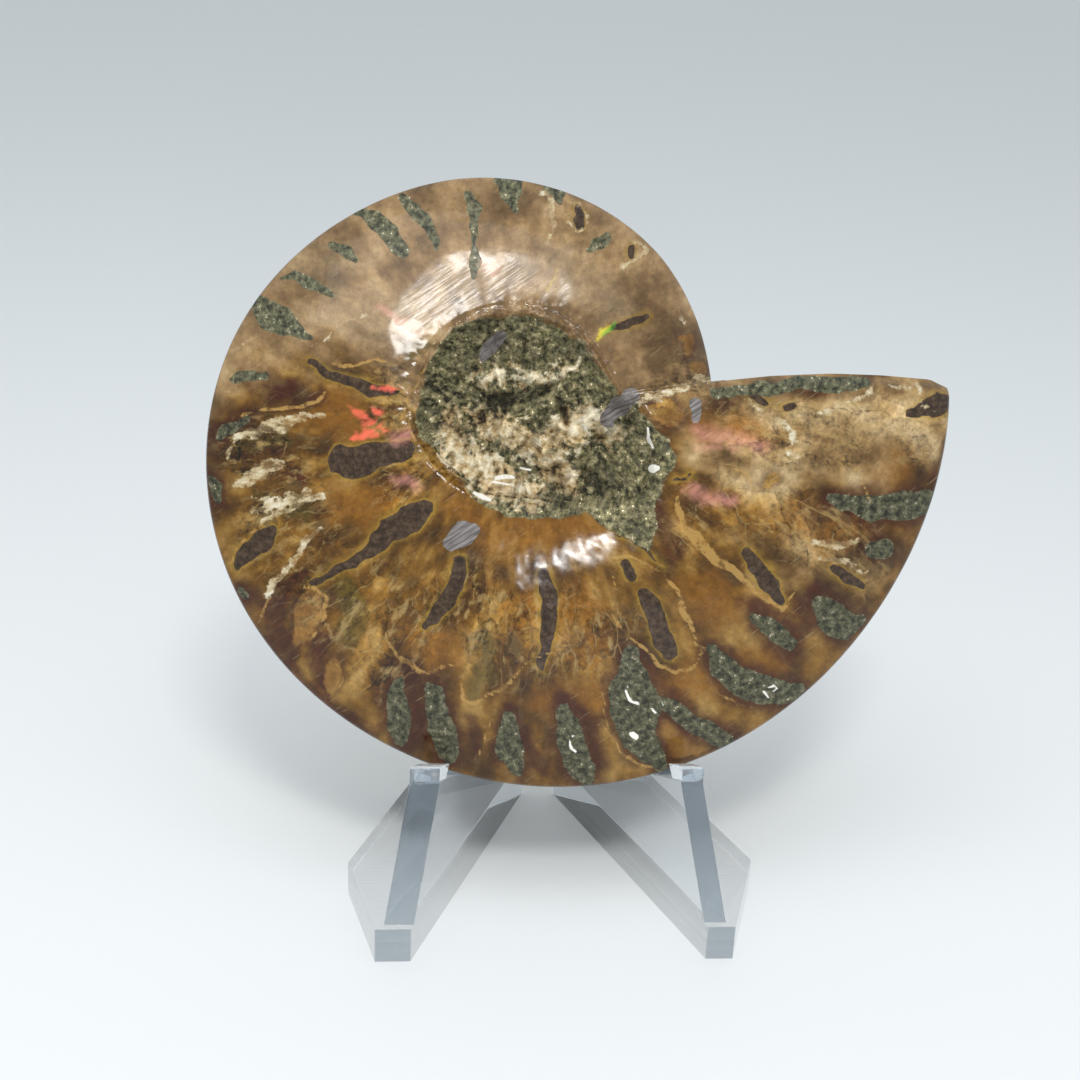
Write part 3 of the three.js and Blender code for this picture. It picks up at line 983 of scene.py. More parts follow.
# Stops are places on the tone from 0 to 1, and colours
shellLook = {
    "taupe": [(0.1, "#564229"), (0.35, "#785d3e"), (0.5, "#967750"), (0.65, "#b08f65"), (0.9, "#c9ae84")],
    "amber": [(0.1, "#432a0c"), (0.35, "#5b3c11"), (0.5, "#704c17"), (0.65, "#8a6224"), (0.9, "#ab8546")],
    "mouth": [(0.1, "#563f26"), (0.35, "#80623b"), (0.5, "#a38355"), (0.65, "#b99a6b"), (0.9, "#cfb488")],
    "tan": [(0.1, "#7a5222"), (0.5, "#946a31"), (0.9, "#b08846")],
    # Painted sheen round the ground flats
    "haze": "#b9a07c",
    # Painted shade down the right of the top whorl
    "shade": "#604629",
    "glow": "#94601a",
    "red": "#421a0e",
    "olive": "#574818",
    "tanRim": "#421a0e",
    "halo": "#451f0d",
    "darkHalo": "#9a7a2c",
    "rim": "#5c4226",
    "goldRim": "#9c7a2c",
    "cream": "#bca881",
    "wisp": "#b39660",
    "line": "#b08a4c",
    "paleCream": "#dcd2ba",
    "dark": [(0.35, "#2b2017"), (0.5, "#403023"), (0.65, "#564434")],
    "grey": [(0.35, "#55504d"), (0.65, "#8f8987")],
    "white": "#f6f2e8",
    "coral": "#ff7058",
    # Pink lustre, partly a painted sheen
    "pinkLustreSheen": "#f0a596",
    "gold": "#f2dc3a",
    "green": "#5cbf3a",
    # Cream stone painted from shade in low places to light on raised ones, and the painted shadow of the
    # hollow
    "rockCream": [(0.3, "#775f40"), (0.42, "#9f875f"), (0.54, "#c4af88"), (0.7, "#e4d8bc")],
    "rockShadow": "#17140d",
}

# Coordinates along the growth lines: how many there are to a radian, how much they are stretched outwards,
# how far a place's height draws them in and how much they sweep round towards the rim
growthLook = {
    "scale": 16.0,
    "stretch": 2.4,
    "depth": 0.2,
    "sweep": 0.25,
}

# Each kind of mottling: its size in mm, its seed and how much it changes the upper and the lower ground
mottling = {
    "cloud": {"size": 6.0, "seed": 11, "upper": 0.24, "lower": 0.3},
    "streak": {"size": 1.6, "seed": 12, "upper": 0.2, "lower": 0.5},
    "fleck": {"size": 1.6, "seed": 13, "upper": 0.05, "lower": 0.1},
}

# Sizes in mm and seeds of the noises that fray the edges of stains and of the crisp markings
fraying = {
    "stain": (2.6, 14),
    "ragged": (1.3, 21),
    "jagged": (0.65, 22),
    "crackle": (5.0, 23),
}

# The change from the grey-brown shell above to the amber below: where it starts and ends in mm, and the
# clouds that shift it, each with its amount and size in mm and its seed
amberEdge = {
    "width": (-5, 5),
    "clouds": {"wide": (5, 7.0, 11), "fine": (2, 2.6, 14)},
}

# Soft stains, painted sheen and painted shade on the ground colour, in the order that they are laid: how
# much of the ground they cover, how ragged their edge is, where it starts and ends in mm, and in which part
# of the shell they show
groundStains = {
    # Painted sheen round the ground flats and on the top-left rim
    "haze": {"strokes": paintedSheen, "cover": 0.35, "ragged": 2.0, "edge": (-3, 1.5), "part": "upper"},
    # Painted shade down the right of the top whorl
    "shade": {"strokes": paintedShade, "cover": 0.85, "ragged": 2.0, "edge": (-3, 1.5), "part": "upper"},
    # Amber painted brighter, on the crest and by the mouth as a painted glow
    "glow": {"strokes": amberGlow, "cover": 0.6, "ragged": 1.4, "edge": (-2.2, 1.2), "part": "all"},
    "red": {"strokes": redStains, "cover": 0.78, "ragged": 0.9, "edge": (-0.9, 0.5), "part": "all"},
    "olive": {"strokes": oliveLenses, "cover": 0.7, "ragged": 1.0, "edge": (-0.5, 0.5), "part": "all"},
    "tanRim": {"strokes": tanPieces, "cover": 0.55, "ragged": 0.4, "edge": (-1.0, 0), "part": "all"},
}

# Paler shell by the mouth, and the pieces of tan shell
mouthStain = {"cover": 1.0, "ragged": 4.0, "edge": (-4, 4)}
tanStain = {"cover": 1.0, "ragged": 0.3, "edge": (-0.1, 0.1)}

# Brown and golden halos round the lenses
lensHalos = {
    "halo": {"field": "matrixField", "cover": 0.85, "ragged": 0.8, "edge": (-2.1, 0), "part": "lower"},
    "darkHalo": {"field": "darkField", "cover": 0.5, "ragged": 0.5, "edge": (-0.9, 0.1), "part": "all"},
}


# Places along the growth lines: across them by angle and along them by the logarithm of the radius
def growthPlaces(local):
    look = growthLook
    angle = np.arctan2(local[:, 1], local[:, 0])
    radius = np.maximum(np.hypot(local[:, 0], local[:, 1]) - look["depth"] * local[:, 2], 1)
    grown = look["scale"] * np.log(radius)
    turned = look["scale"] * (angle + look["sweep"] * radius / fossil["rimRadii"][-1])
    return np.stack([turned, grown / look["stretch"], np.zeros(len(local))], axis=1)


# 0 in the grey-brown shell above and 1 in the amber below
def warmthOf(local, places):
    boundary = np.interp(places[:, 0], [x for x, _ in amberLine], [y for _, y in amberLine])
    below = (places[:, 1] - boundary) / picturePixelsPerMm
    for amount, size, seed in amberEdge["clouds"].values():
        below = below + amount * turbulence(local, size, seed)
    return smooth(below, *amberEdge["width"])


def edgeShare(field, entry, ragged):
    return entry["cover"] * smooth(field + entry["ragged"] * ragged, *entry["edge"])


# The polished shell's ground colour with its soft stains, painted sheen and painted shade
def paintGround(local, places, fields):
    look = shellLook
    parts = {"all": 1.0, "upper": 1 - fields["warmth"], "lower": fields["warmth"]}
    ragged = turbulence(local, *fraying["stain"])
    spots = {"cloud": local, "streak": growthPlaces(local), "fleck": local}
    mottled = {name: turbulence(spots[name], kind["size"], kind["seed"]) for name, kind in mottling.items()}
    upper = 0.5 + sum(mottled[name] * kind["upper"] for name, kind in mottling.items())
    lower = 0.5 + sum(mottled[name] * kind["lower"] for name, kind in mottling.items())
    ground = blend(toneOf(upper, look["taupe"]), toneOf(lower, look["amber"]), fields["warmth"])
    mouth = edgeShare(strokeField(places, mouthTint), mouthStain, mottled["cloud"])
    ground = blend(ground, toneOf(lower, look["mouth"]), mouth)
    for name, entry in groundStains.items():
        share = edgeShare(strokeField(places, entry["strokes"]), entry, ragged)
        ground = stain(ground, look[name], share * parts[entry["part"]])
    tan = edgeShare(strokeField(places, tanPieces), tanStain, ragged)
    ground = blend(ground, toneOf(lower, look["tan"]), tan)
    for name, entry in lensHalos.items():
        share = edgeShare(fields[entry["field"]], entry, ragged)
        ground = stain(ground, look[name], share * parts[entry["part"]])
    return ground


# Crisp fields that the fossil's points keep for its material: the strokes, how ragged and how jagged
# their edges are, and how much wider than the strokes they are drawn, in mm
wanderingFields = {
    "matrixField": (matrixLenses, 0.18, 0, 0),
    "darkField": (darkLenses, 0.18, 0.08, 0),
    "greyField": (greyPatches, 0.2, 0, 0),
    "creamField": (creamVeins, 0.3, 0.2, 0),
    "lineField": (goldenLines, 0.15, 0.1, -0.03),
    "coralField": (coralFlash, 0.35, 0.3, 0),
    "pinkLustreSheenField": (pinkLustreAndSheen, 0.6, 0, 0),
    "scuffField": (scuffs, 1.2, 0, 0),
    "creamRockField": (creamRock, 2, 0, 0),
    "creviceField": (rockCrevices, 0.4, 0, 0),
}

# Fields that stay where their strokes are, and how much wider they are drawn
steadyFields = {
    "whiteField": (whiteShells, 0),
    "goldField": (goldFlash, -0.3),
    "greenField": (greenFlash, -0.1),
}

# How ragged the edges of the shattered shell and of the rough rock are, in mm
crackleRagged = 3
hollowRagged = 0.4


def drawFields(local, places, around, rock):
    ragged = turbulence(local, *fraying["ragged"])
    jagged = turbulence(local, *fraying["jagged"])
    fields = {"warmth": warmthOf(local, around), "rockHeight": rock}
    for name, (strokes, raggedBy, jaggedBy, wider) in wanderingFields.items():
        fields[name] = strokeField(around, strokes) + raggedBy * ragged + jaggedBy * jagged + wider
    for name, (strokes, wider) in steadyFields.items():
        fields[name] = strokeField(places, strokes) + wider
    crackle = turbulence(local, *fraying["crackle"])
    fields["crackleField"] = strokeField(around, crackled) + crackleRagged * crackle
    fields["hollowField"] = outlineField(around, hollowOutline) + hollowRagged * ragged
    return fields


# Fields, ground colour and growth lines go onto the points as attributes
def markFossil(mesh, local, places, front, rock):
    seen = np.nonzero(front)[0]
    around = wander(places[seen])
    fields = drawFields(local[seen], places[seen], around, rock[seen])
    for name, values in fields.items():
        spread = np.full(len(places), -farOutside)
        spread[seen] = values
        mesh.attributes.new(name, "FLOAT", "POINT").data.foreach_set("value", spread.astype(np.float32))
    ground = np.tile(colour(shellLook["rim"]), (len(places), 1))
    ground[seen, :3] = paintGround(local[seen], around, fields)
    painted = mesh.attributes.new("groundColour", "FLOAT_COLOR", "POINT")
    painted.data.foreach_set("color", ground.astype(np.float32).ravel())
    growth = mesh.attributes.new("growthPlace", "FLOAT_VECTOR", "POINT")
    growth.data.foreach_set("vector", growthPlaces(local).astype(np.float32).ravel())


# A flat grid, with the row and the column of each of its points
def makeGrid(name, rows, columns):
    bm = bmesh.new()
    bmesh.ops.create_grid(bm, x_segments=rows - 1, y_segments=columns - 1, size=0.5)
    mesh = bpy.data.meshes.new(name)
    bm.to_mesh(mesh)
    bm.free()
    flat = np.empty(len(mesh.vertices) * 3)
    mesh.vertices.foreach_get("co", flat)
    flat = flat.reshape(-1, 3) + 0.5
    row = np.rint(flat[:, 0] * (rows - 1)).astype(int)
    column = np.rint(flat[:, 1] * (columns - 1)).astype(int)
    return mesh, row, column


# Joins the grid's ends and poles, and gives the flat cut its own material
def closeFossil(mesh):
    grid = fossilGrid
    out = fossilNormal()
    bm = bmesh.new()
    bm.from_mesh(mesh)
    bmesh.ops.remove_doubles(bm, verts=bm.verts, dist=grid["weld"] * mm)
    bmesh.ops.dissolve_degenerate(bm, edges=bm.edges, dist=grid["sliver"] * mm)
    bmesh.ops.recalc_face_normals(bm, faces=bm.faces)
    for face in bm.faces:
        face.smooth = True
        face.material_index = 1 if face.normal.dot(out) < -grid["backFacing"] else 0
    bm.to_mesh(mesh)
    bm.free()


def makeFossil():
    rays = fossilRays()
    radius, height, frontCount = fossilSurface(rays)
    mesh, ray, station = makeGrid("fossilAmmonite", *radius.shape)
    across, up = acrossAndUp(rays["angle"][ray], radius[ray, station])
    local = np.stack([across, up, height[ray, station]], axis=1)
    front = station < frontCount
    seam = rays["seam"][ray]
    seamRow = np.where(front, 4 * seam * (1 - seam), 0)
    turned = np.array(Matrix.Rotation(fossilTurn(), 3, "X"))
    place = np.array(fossilPlace())
    places = toPicture(local @ turned.T * mm + place)
    local, rock = roughen(local, front, seamRow, places)
    points = grindFlats(local @ turned.T * mm + place, places, front)
    mesh.vertices.foreach_set("co", points.ravel())
    markFossil(mesh, local, places, station < frontCount + 1, rock)
    closeFossil(mesh)
    piece = bpy.data.objects.new("fossil_ammonite", mesh)
    scene.collection.objects.link(piece)
    mesh.materials.append(makeShellMaterial())
    mesh.materials.append(makeCutMaterial())
    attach(piece, "root")
    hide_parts("ammonite")
    print("fossil", len(mesh.vertices), "points", len(mesh.polygons), "faces")


# Height slants the places that textures are read at, so that they aren't drawn out on steep sides
heightSlant = (0.18, 0.25, 0.0)


# Places on the fossil in mm from the coil's centre, on its own cut face
def facePoint(tree):
    inputs = {
        "Vector": addNode(tree, "ShaderNodeTexCoord").outputs["Object"],
        "Location": fossilPlace(),
        "Rotation": (fossilTurn(), 0, 0),
        "Scale": (mm, mm, mm),
    }
    place = addNode(tree, "ShaderNodeMapping", inputs, vector_type="TEXTURE").outputs[0]
    height = addNode(tree, "ShaderNodeSeparateXYZ", {0: place}).outputs[2]
    inputs = {0: height, 1: heightSlant, 2: place}
    return addNode(tree, "ShaderNodeVectorMath", inputs, operation="MULTIPLY_ADD").outputs[0]


matrixLook = {
    "stops": [(0.36, "#202016"), (0.5, "#4b4a35"), (0.68, "#767158")],
    "grain": "#d4cdb4",
    "grainSize": 2.0,
    "grainStart": 0.55,
    "grainShare": 1.5,
    "warp": (2.0, 0.35),
}


# Dark grey-green sediment with pale grains. Grit is a noise between 0 and 1
def makeMatrixGroup():
    look = matrixLook
    inputs = [("Point", "NodeSocketVector", None), ("Grit", "NodeSocketFloat", 0.5)]
    tree, entry, result = groupOf("speckledMatrix", inputs, [("Color", "NodeSocketColor")])
    ground = rampOf(tree, entry.outputs["Grit"], look["stops"])
    grains = cellsOf(tree, warped(tree, entry.outputs["Point"], *look["warp"]), look["grainSize"])
    share = times(tree, minus(tree, entry.outputs["Grit"], look["grainStart"]), look["grainShare"])
    isGrain = maths(tree, "LESS_THAN", grains, share)
    tree.links.new(mixColour(tree, isGrain, ground, colour(look["grain"])), result.inputs["Color"])
    return tree


# Scales of the plates and chips, how much they differ in tone, and the width of the lines between them.
# Lines are broken where the chips' noise is low, and the share of chips above flakeStart are flakes
crackLook = {
    "plate": 0.6,
    "chip": 1.7,
    "plateContrast": 0.8,
    "chipContrast": 0.7,
    "line": 0.035,
    "breaks": (0.35, 0.6),
    "flakeStart": 0.9,
    "flake": 0.3,
    "warp": (1.6, 0.35),
}


# Broken shell in flat plates and small chips: how light each one is, and the pale edges between them
def makeCrackGroup():
    look = crackLook
    inputs = [("Point", "NodeSocketVector", None)]
    outputs = [("Tone", "NodeSocketFloat"), ("Pale", "NodeSocketFloat"), ("Crack", "NodeSocketFloat")]
    tree, entry, result = groupOf("brokenShell", inputs, outputs)
    bent = warped(tree, entry.outputs["Point"], *look["warp"])
    plates = channelsOf(tree, cellsOf(tree, bent, look["plate"], output=1))
    chips = channelsOf(tree, cellsOf(tree, bent, look["chip"], output=1))
    plateTone = times(tree, minus(tree, plates[0], 0.5), look["plateContrast"])
    chipTone = times(tree, minus(tree, chips[0], 0.5), look["chipContrast"])
    tree.links.new(plus(tree, plateTone, chipTone), result.inputs["Tone"])
    fromEdge = cellsOf(tree, bent, look["plate"], "DISTANCE_TO_EDGE")
    line = rangeOf(tree, fromEdge, 0.0, look["line"], 1.0, 0.0)
    broken = times(tree, line, rangeOf(tree, chips[1], *look["breaks"]))
    flake = times(tree, maths(tree, "GREATER_THAN", chips[2], look["flakeStart"]), look["flake"])
    tree.links.new(larger(tree, broken, flake), result.inputs["Pale"])
    tree.links.new(minus(tree, line, broken), result.inputs["Crack"])
    return tree


matrixGroup = makeMatrixGroup()
crackGroup = makeCrackGroup()

# Noises on the shell: scale, detail and roughness
shellNoises = {
    "grit": (1.1, 6, 0.72),
    "strands": (1.3, 5, 0.66),
    "brush": (1.0, 3, 0.7),
    "breaks": (0.5, 3, 0.7),
    "grain": (2.4, 3, 0.75),
}

# How much the grit frays the edge of each field's mark, and where the edge starts and ends, in mm. The
# dark lenses' golden rim lies round their field
markEdges = {
    "crackleField": (0.0, -3.5, 1.5),
    "scuffField": (0.9, -0.8, 0.6),
    "greyField": (0.4, -0.06, 0.06),
    "darkField": (0.4, -0.06, 0.06),
    "darkRim": (0.9, -0.42, -0.1),
    "matrixField": (0.4, -0.06, 0.06),
    "lineField": (0.4, -0.1, 0.1),
    "creamField": (1.2, -0.1, 0.14),
    "pinkLustreSheenField": (0.9, -1.0, 1.0),
    "coralField": (0.9, -0.4, 0.4),
    "goldField": (0.9, -0.4, 0.4),
    "greenField": (0.9, -0.4, 0.4),
    "hollowField": (0.9, -0.12, 0.12),
    "creamRockField": (4.0, -0.8, 0.8),
    "creviceField": (3.0, -0.4, 0.5),
    "whiteField": (0.0, -0.06, 0.06),
}

# How much each flash covers the ground
flashCover = {"pinkLustreSheen": 0.45, "coral": 0.75, "gold": 0.85, "green": 0.7}

# Pairs are how much stronger a thing is where the shell is shattered, and how strong elsewhere. Fours are
# a noise's start and end, and the values that it gives there. The bump's height is in mm
shellFinish = {
    "mottle": (1.2, 0.9),
    "plates": (0.5, 0.14),
    "crack": (0.35, 0.05),
    "pale": (0.52, 0.08),
    "depth": 0.8,
    "palePlates": 0.7,
    "feather": (0.5, 0.72, 0.0, 1.0),
    "brushTurn": -55,
    "brushScale": (0.32, 5.0, 1.0),
    "scratches": (0.66, 0.76, 0.0, 0.3),
    "rimBreaks": (0.4, 0.6, 0.05, 0.5),
    "lineBreaks": (0.36, 0.5, 0.25, 0.8),
    "veinBreaks": (0.36, 0.5, 0.45, 1.0),
    "veinStrands": (0.4, 0.54, 0.2, 1.0),
    "flashStreaks": (0.35, 0.6, 0.65, 1.0),
    "topMatrix": 0.35,
    "polish": (0.3, 0.7, 0.1, 0.18),
    "brushed": (0.3, 0.7, 0.14, 0.36),
    "matrixRough": 0.36,
    "rockRough": 0.8,
    "rockGrain": 2.4,
    "matrixGrain": 0.25,
    "brushLines": 0.03,
    "bump": 0.5,
    "bumpHeight": 0.25,
    "refraction": 1.55,
    "shine": 0.32,
}

# The rough hollow: how its painted light and painted shadow follow the relief and the grit, with painted
# shadow in its crevices, and what lies on the stone
rockFinish = {
    "gritShare": 0.7,
    "heightShare": 0.24,
    "lift": (2.15, 2.0, 1.85),
    "rubbleSize": 0.8,
    "rubbleTone": 0.7,
    "shadows": (0.28, 0.42, 0.75, 0.0),
    "crevices": 0.6,
    "crumbs": 0.15,
}


def fieldMask(tree, name, centred, edge=None):
    fray, low, high = markEdges[edge or name]
    return rangeOf(tree, timesPlus(tree, centred, fray, attribute(tree, name)), low, high)


# What the shell's colours, gloss and relief share: places, noises and the masks of its markings
def shellMarks(tree):
    finish = shellFinish
    point = facePoint(tree)
    growth = attribute(tree, "growthPlace", "Vector")
    turn = (0, 0, math.radians(finish["brushTurn"]))
    inputs = {"Vector": point, "Rotation": turn, "Scale": finish["brushScale"]}
    drawnOut = addNode(tree, "ShaderNodeMapping", inputs, vector_type="TEXTURE").outputs[0]
    grit = noiseOf(tree, point, *shellNoises["grit"])
    centred = minus(tree, grit, 0.5)
    strands = noiseOf(tree, growth, *shellNoises["strands"])
    marks = {
        "point": point,
        "growth": growth,
        "grit": grit,
        "centred": centred,
        "strands": strands,
        "feather": rangeOf(tree, strands, *finish["feather"]),
        "brush": noiseOf(tree, drawnOut, *shellNoises["brush"]),
        "breaks": noiseOf(tree, point, *shellNoises["breaks"]),
        "warmth": attribute(tree, "warmth"),
        "sediment": placeGroup(tree, matrixGroup, {"Point": point, "Grit": grit})["Color"],
    }
    for name in ("crackle", "scuff", "grey", "matrix", "hollow"):
        marks[name] = fieldMask(tree, name + "Field", centred)
    return marks


# Broken shell, strongest where the photograph shows it and faint elsewhere
def paintShell(tree, marks):
    finish = shellFinish
    strength = {}
    for name in ("mottle", "plates", "crack", "pale"):
        strength[name] = timesPlus(tree, marks["crackle"], *finish[name])
    shell = placeGroup(tree, crackGroup, {"Point": marks["growth"]})
    uneven = times(tree, marks["centred"], strength["mottle"])
    plates = times(tree, shell["Tone"], strength["plates"])
    shade = plus(tree, plus(tree, uneven, plates), finish["depth"])
    shade = minus(tree, shade, times(tree, shell["Crack"], strength["crack"]))
    ground = scaled(tree, attribute(tree, "groundColour", "Color"), shade)
    pale = larger(tree, marks["feather"], times(tree, shell["Pale"], finish["palePlates"]))
    pale = times(tree, pale, strength["pale"])
    ground = mixColour(tree, pale, ground, colour(shellLook["wisp"]))
    scratch = rangeOf(tree, marks["brush"], *finish["scratches"])
    return mixColour(tree, scratch, ground, colour(shellLook["cream"]))


# Grey patches, dark and grey-green lenses, golden rims and lines, and cream veins
def paintLenses(tree, marks, ground):
    look = shellLook
    finish = shellFinish
    centred = marks["centred"]
    breaks = marks["breaks"]
    ground = mixColour(tree, marks["grey"], ground, rampOf(tree, marks["brush"], look["grey"]))
    rim = times(tree, marks["warmth"], rangeOf(tree, breaks, *finish["rimBreaks"]))
    rim = times(tree, rim, fieldMask(tree, "darkField", centred, "darkRim"))
    ground = mixColour(tree, rim, ground, colour(look["goldRim"]))
    dark = fieldMask(tree, "darkField", centred)
    ground = mixColour(tree, dark, ground, rampOf(tree, marks["grit"], look["dark"]))
    lighter = timesPlus(tree, minus(tree, 1.0, marks["warmth"]), finish["topMatrix"], 1.0)
    ground = mixColour(tree, marks["matrix"], ground, scaled(tree, marks["sediment"], lighter))
    line = times(tree, fieldMask(tree, "lineField", centred), rangeOf(tree, breaks, *finish["lineBreaks"]))
    ground = mixColour(tree, line, ground, colour(look["line"]))
    vein = times(tree, fieldMask(tree, "creamField", centred), rangeOf(tree, breaks, *finish["veinBreaks"]))
    vein = times(tree, vein, rangeOf(tree, marks["strands"], *finish["veinStrands"]))
    veinTone = mixColour(tree, marks["feather"], colour(look["cream"]), colour(look["paleCream"]))
    return mixColour(tree, vein, ground, veinTone)


# Flashes of lustre; the pink one is partly a painted sheen
def paintFlashes(tree, marks, ground):
    streaky = rangeOf(tree, marks["brush"], *shellFinish["flashStreaks"])
    for name, cover in flashCover.items():
        flash = times(tree, fieldMask(tree, name + "Field", marks["centred"]), times(tree, streaky, cover))
        ground = mixColour(tree, flash, ground, colour(shellLook[name]))
    return ground


# Dark speckled rock with cream stone and rubble, painted light on raised rock, painted shadows in low
# places and crevices, and the grey crystals left clear
def paintHollow(tree, marks, ground):
    look = shellLook
    rock = rockFinish
    centred = marks["centred"]
    lit = timesPlus(tree, centred, rock["gritShare"], 0.5)
    lit = timesPlus(tree, attribute(tree, "rockHeight"), rock["heightShare"], lit)
    inputs = {0: marks["sediment"], 1: rock["lift"]}
    lifted = addNode(tree, "ShaderNodeVectorMath", inputs, operation="MULTIPLY").outputs[0]
    # Cream stone is painted lighter on raised rock and darker in low places
    cream = rampOf(tree, lit, look["rockCream"])
    stone = mixColour(tree, fieldMask(tree, "creamRockField", centred), lifted, cream)
    rubble = placeGroup(tree, crackGroup, {"Point": scaled(tree, marks["point"], rock["rubbleSize"])})
    stone = scaled(tree, stone, timesPlus(tree, rubble["Tone"], rock["rubbleTone"], 1.0))
    # Painted shadow in the rock's low places and crevices
    crevice = times(tree, fieldMask(tree, "creviceField", centred), rock["crevices"])
    shadow = larger(tree, rangeOf(tree, lit, *rock["shadows"]), crevice)
    stone = mixColour(tree, shadow, stone, colour(look["rockShadow"]))
    crumbs = times(tree, rubble["Pale"], rock["crumbs"])
    stone = mixColour(tree, crumbs, stone, colour(look["paleCream"]))
    return mixColour(tree, times(tree, marks["hollow"], minus(tree, 1.0, marks["grey"])), ground, stone)


# Polished shell, duller sediment, raw rock, and brushed where the shoulder was ground
def shellRoughness(tree, marks):
    finish = shellFinish
    polished = rangeOf(tree, marks["grit"], *finish["polish"])
    brushed = rangeOf(tree, marks["brush"], *finish["brushed"])
    rough = mixValue(tree, marks["scuff"], polished, brushed)
    rough = mixValue(tree, marks["matrix"], rough, finish["matrixRough"])
    return mixValue(tree, marks["hollow"], rough, finish["rockRough"])


# Relief of the rock, the sediment and the grinding lines
def shellBump(tree, marks):
    finish = shellFinish
    grain = noiseOf(tree, marks["point"], *shellNoises["grain"])
    weight = times(tree, marks["matrix"], finish["matrixGrain"])
    weight = timesPlus(tree, marks["hollow"], finish["rockGrain"], weight)
    lines = times(tree, times(tree, marks["brush"], marks["scuff"]), finish["brushLines"])
    inputs = {
        "Height": timesPlus(tree, grain, weight, lines),
        "Strength": finish["bump"],
        "Distance": finish["bumpHeight"] * mm,
    }
    return addNode(tree, "ShaderNodeBump", inputs).outputs[0]


def makeShellMaterial():
    material, tree = newMaterial("polishedShell")
    marks = shellMarks(tree)
    ground = paintShell(tree, marks)
    ground = paintLenses(tree, marks, ground)
    ground = paintFlashes(tree, marks, ground)
    ground = paintHollow(tree, marks, ground)
    white = fieldMask(tree, "whiteField", marks["centred"])
    shader = addNode(tree, "ShaderNodeBsdfPrincipled", {
        "Base Color": mixColour(tree, white, ground, colour(shellLook["white"])),
        "Roughness": shellRoughness(tree, marks),
        "IOR": shellFinish["refraction"],
        "Specular IOR Level": shellFinish["shine"],
        "Normal": shellBump(tree, marks),
    })
    finishMaterial(tree, shader)
    return material


# The spiral grows by the growth factor in a turn, from the start radius in mm at the notch. The walls and
# the lining start and end at shares of the way across a whorl or a chamber, measured from its middle
cutLook = {
    "growth": 2.16,
    "startRadius": 28.0,
    "smallest": 0.3,
    "innerTurns": 20,
    "warp": (0.12, 1.6),
    "whorlWall": (0.462, 0.478),
    "septa": 17,
    "firstChamber": 200,
    "septumBow": 2.3,
    "septum": (0.455, 0.475),
    "lining": (0.2, 0.45, 0.0, 0.25),
    "cloud": (0.5, 6, 0.65),
    "toneByChamber": 0.5,
    "toneByCloud": 0.6,
    "toneShift": -0.08,
    "cleaving": 0.6,
    "cleavingTone": 0.3,
    "cleavingPale": 0.5,
    "filledFrom": 0.8,
    "mud": (0.34, 0.44),
    "wallCover": 0.85,
    "crystalRough": 0.14,
    "mudRough": 0.32,
    "relief": 0.3,
    "bump": 0.3,
    "bumpHeight": 0.1,
    "refraction": 1.55,
    "wall": "#d9c9a4",
    "crystal": [(0.0, "#6b4119"), (0.3, "#8a5a24"), (0.5, "#b1813f"), (0.7, "#d2b27c"), (0.88, "#e3d6b4")],
}


# Which whorl of the spiral a place is in, counted from within, which chamber of it, and how far it is
# from the middle of each
def spiralChambers(tree, point):
    look = cutLook
    parts = addNode(tree, "ShaderNodeSeparateXYZ", {0: point}).outputs
    turns = maths(tree, "DIVIDE", maths(tree, "ARCTAN2", parts[1], parts[0]), 2 * math.pi)
    flatPoint = addNode(tree, "ShaderNodeCombineXYZ", {0: parts[0], 1: parts[1]}).outputs[0]
    radius = addNode(tree, "ShaderNodeVectorMath", {0: flatPoint}, operation="LENGTH").outputs["Value"]
    grown = maths(tree, "DIVIDE", larger(tree, radius, look["smallest"]), look["startRadius"])
    windings = minus(tree, maths(tree, "LOGARITHM", grown, look["growth"]), turns)
    windings = plus(tree, windings, fossil["notchAngle"] / 360 + look["innerTurns"])
    across = maths(tree, "FRACT", windings)
    whorl = maths(tree, "FLOOR", windings)
    bow = times(tree, times(tree, across, minus(tree, 1.0, across)), look["septumBow"])
    chambers = plus(tree, times(tree, plus(tree, turns, whorl), look["septa"]), bow)
    chambers = plus(tree, chambers, look["firstChamber"])
    fromWhorl = maths(tree, "ABSOLUTE", minus(tree, across, 0.5))
    fromChamber = maths(tree, "ABSOLUTE", minus(tree, maths(tree, "FRACT", chambers), 0.5))
    return whorl, maths(tree, "FLOOR", chambers), fromWhorl, fromChamber


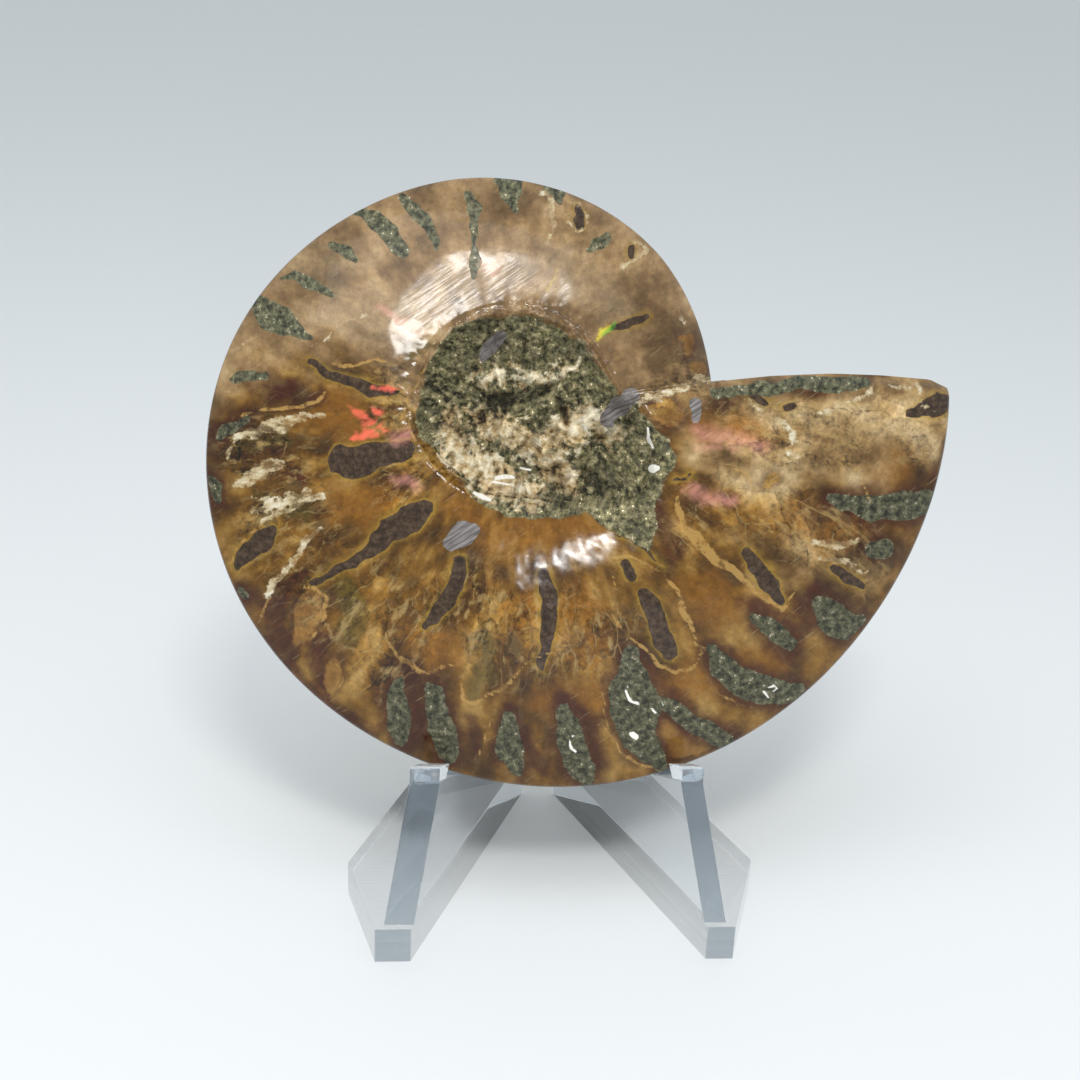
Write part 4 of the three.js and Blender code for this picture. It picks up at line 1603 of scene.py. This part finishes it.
# The cut and polished back: whorls split into chambers by curved walls
def makeCutMaterial():
    look = cutLook
    material, tree = newMaterial("cutFace")
    point = facePoint(tree)
    bent = warped(tree, point, *look["warp"])
    whorl, chamber, fromWhorl, fromChamber = spiralChambers(tree, bent)
    walls = larger(
        tree, rangeOf(tree, fromWhorl, *look["whorlWall"]), rangeOf(tree, fromChamber, *look["septum"])
    )
    key = addNode(tree, "ShaderNodeCombineXYZ", {0: chamber, 1: whorl}).outputs[0]
    draw = addNode(tree, "ShaderNodeTexWhiteNoise", {"Vector": key}, noise_dimensions="2D").outputs["Value"]
    cloud = noiseOf(tree, bent, *look["cloud"])
    tone = plus(tree, times(tree, draw, look["toneByChamber"]), times(tree, cloud, look["toneByCloud"]))
    tone = plus(tree, tone, look["toneShift"])
    tone = plus(tree, tone, rangeOf(tree, fromChamber, *look["lining"]))
    cleaved = placeGroup(tree, crackGroup, {"Point": scaled(tree, point, look["cleaving"])})
    spar = rampOf(tree, tone, look["crystal"])
    spar = scaled(tree, spar, timesPlus(tree, cleaved["Tone"], look["cleavingTone"], 1.0))
    spar = mixColour(tree, times(tree, cleaved["Pale"], look["cleavingPale"]), spar, colour(look["wall"]))
    sediment = placeGroup(tree, matrixGroup, {"Point": point, "Grit": cloud})["Color"]
    filled = maths(tree, "GREATER_THAN", draw, look["filledFrom"])
    muddy = times(tree, filled, rangeOf(tree, cloud, *look["mud"]))
    body = mixColour(tree, muddy, spar, sediment)
    body = mixColour(tree, times(tree, walls, look["wallCover"]), body, colour(look["wall"]))
    bump = addNode(tree, "ShaderNodeBump", {
        "Height": times(tree, minus(tree, walls, muddy), look["relief"]),
        "Strength": look["bump"],
        "Distance": look["bumpHeight"] * mm,
    })
    shader = addNode(tree, "ShaderNodeBsdfPrincipled", {
        "Base Color": body,
        "Roughness": mixValue(tree, muddy, look["crystalRough"], look["mudRough"]),
        "IOR": look["refraction"],
        "Normal": bump.outputs[0],
    })
    finishMaterial(tree, shader)
    return material


# Stand feet: the frame's own solids with eased edges, in clear acrylic. Lengths are in mm and angles in
# degrees, and absorption is for each metre
footFinish = {
    "weld": 0.005,
    "ease": 0.25,
    "easeSteps": 2,
    "flatAngle": 2,
    "sharpAngle": 25,
    "frontFacing": 0.8,
    "tint": "#f8fbfd",
    "edgeTint": "#b3c0cb",
    "hazeNoise": (700, 3),
    "hazeRough": (0.45, 0.75, 0.0, 0.06),
    "absorb": "#9fbdd6",
    "density": 5.0,
    "clearness": 0.82,
    "refraction": 1.49,
}


def makeAcrylic(name, tint):
    finish = footFinish
    material, tree = newMaterial(name)
    point = addNode(tree, "ShaderNodeTexCoord").outputs["Object"]
    haze = noiseOf(tree, point, *finish["hazeNoise"])
    shader = addNode(tree, "ShaderNodeBsdfPrincipled", {
        "Base Color": colour(tint),
        "Roughness": rangeOf(tree, haze, *finish["hazeRough"]),
        "IOR": finish["refraction"],
        "Transmission Weight": finish["clearness"],
    })
    absorb = addNode(tree, "ShaderNodeVolumeAbsorption", {
        "Color": colour(finish["absorb"]),
        "Density": finish["density"],
    })
    finishMaterial(tree, shader, absorb)
    return material


# The narrow front faces look along the sheet, so they are more deeply tinted than its sides
def makeFoot(node, name, acrylics):
    finish = footFinish
    bm = bmesh.new()
    bm.from_mesh(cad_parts[node].data)
    bmesh.ops.remove_doubles(bm, verts=bm.verts, dist=finish["weld"] * mm)
    flat = math.radians(finish["flatAngle"])
    bmesh.ops.dissolve_limit(bm, angle_limit=flat, verts=bm.verts, edges=bm.edges)
    sharp = [edge for edge in bm.edges if edge.calc_face_angle(0) > math.radians(finish["sharpAngle"])]
    bmesh.ops.bevel(
        bm, geom=sharp, offset=finish["ease"] * mm, segments=finish["easeSteps"], profile=0.5,
        affect="EDGES", material=-1, clamp_overlap=True,
    )
    bmesh.ops.triangulate(bm, faces=bm.faces)
    for face in bm.faces:
        face.material_index = 1 if face.normal.y < -finish["frontFacing"] else 0
    mesh = bpy.data.meshes.new(name)
    bm.to_mesh(mesh)
    bm.free()
    for acrylic in acrylics:
        mesh.materials.append(acrylic)
    foot = bpy.data.objects.new(name, mesh)
    scene.collection.objects.link(foot)
    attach(foot, "root")
    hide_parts(node)
    foot.visible_shadow = False  # lamps shine through clear acrylic
    print(name, len(mesh.polygons), "faces")


makeCamera()
makeStage()
makeLights()
print("camera, floor and lights are in")
makeFossil()
tints = {"clearAcrylic": footFinish["tint"], "acrylicEdge": footFinish["edgeTint"]}
acrylics = [makeAcrylic(name, tint) for name, tint in tints.items()]
makeFoot("stand_foot_left", "left_foot_clear", acrylics)
makeFoot("stand_foot_right", "right_foot_clear", acrylics)
print("stand feet are in")
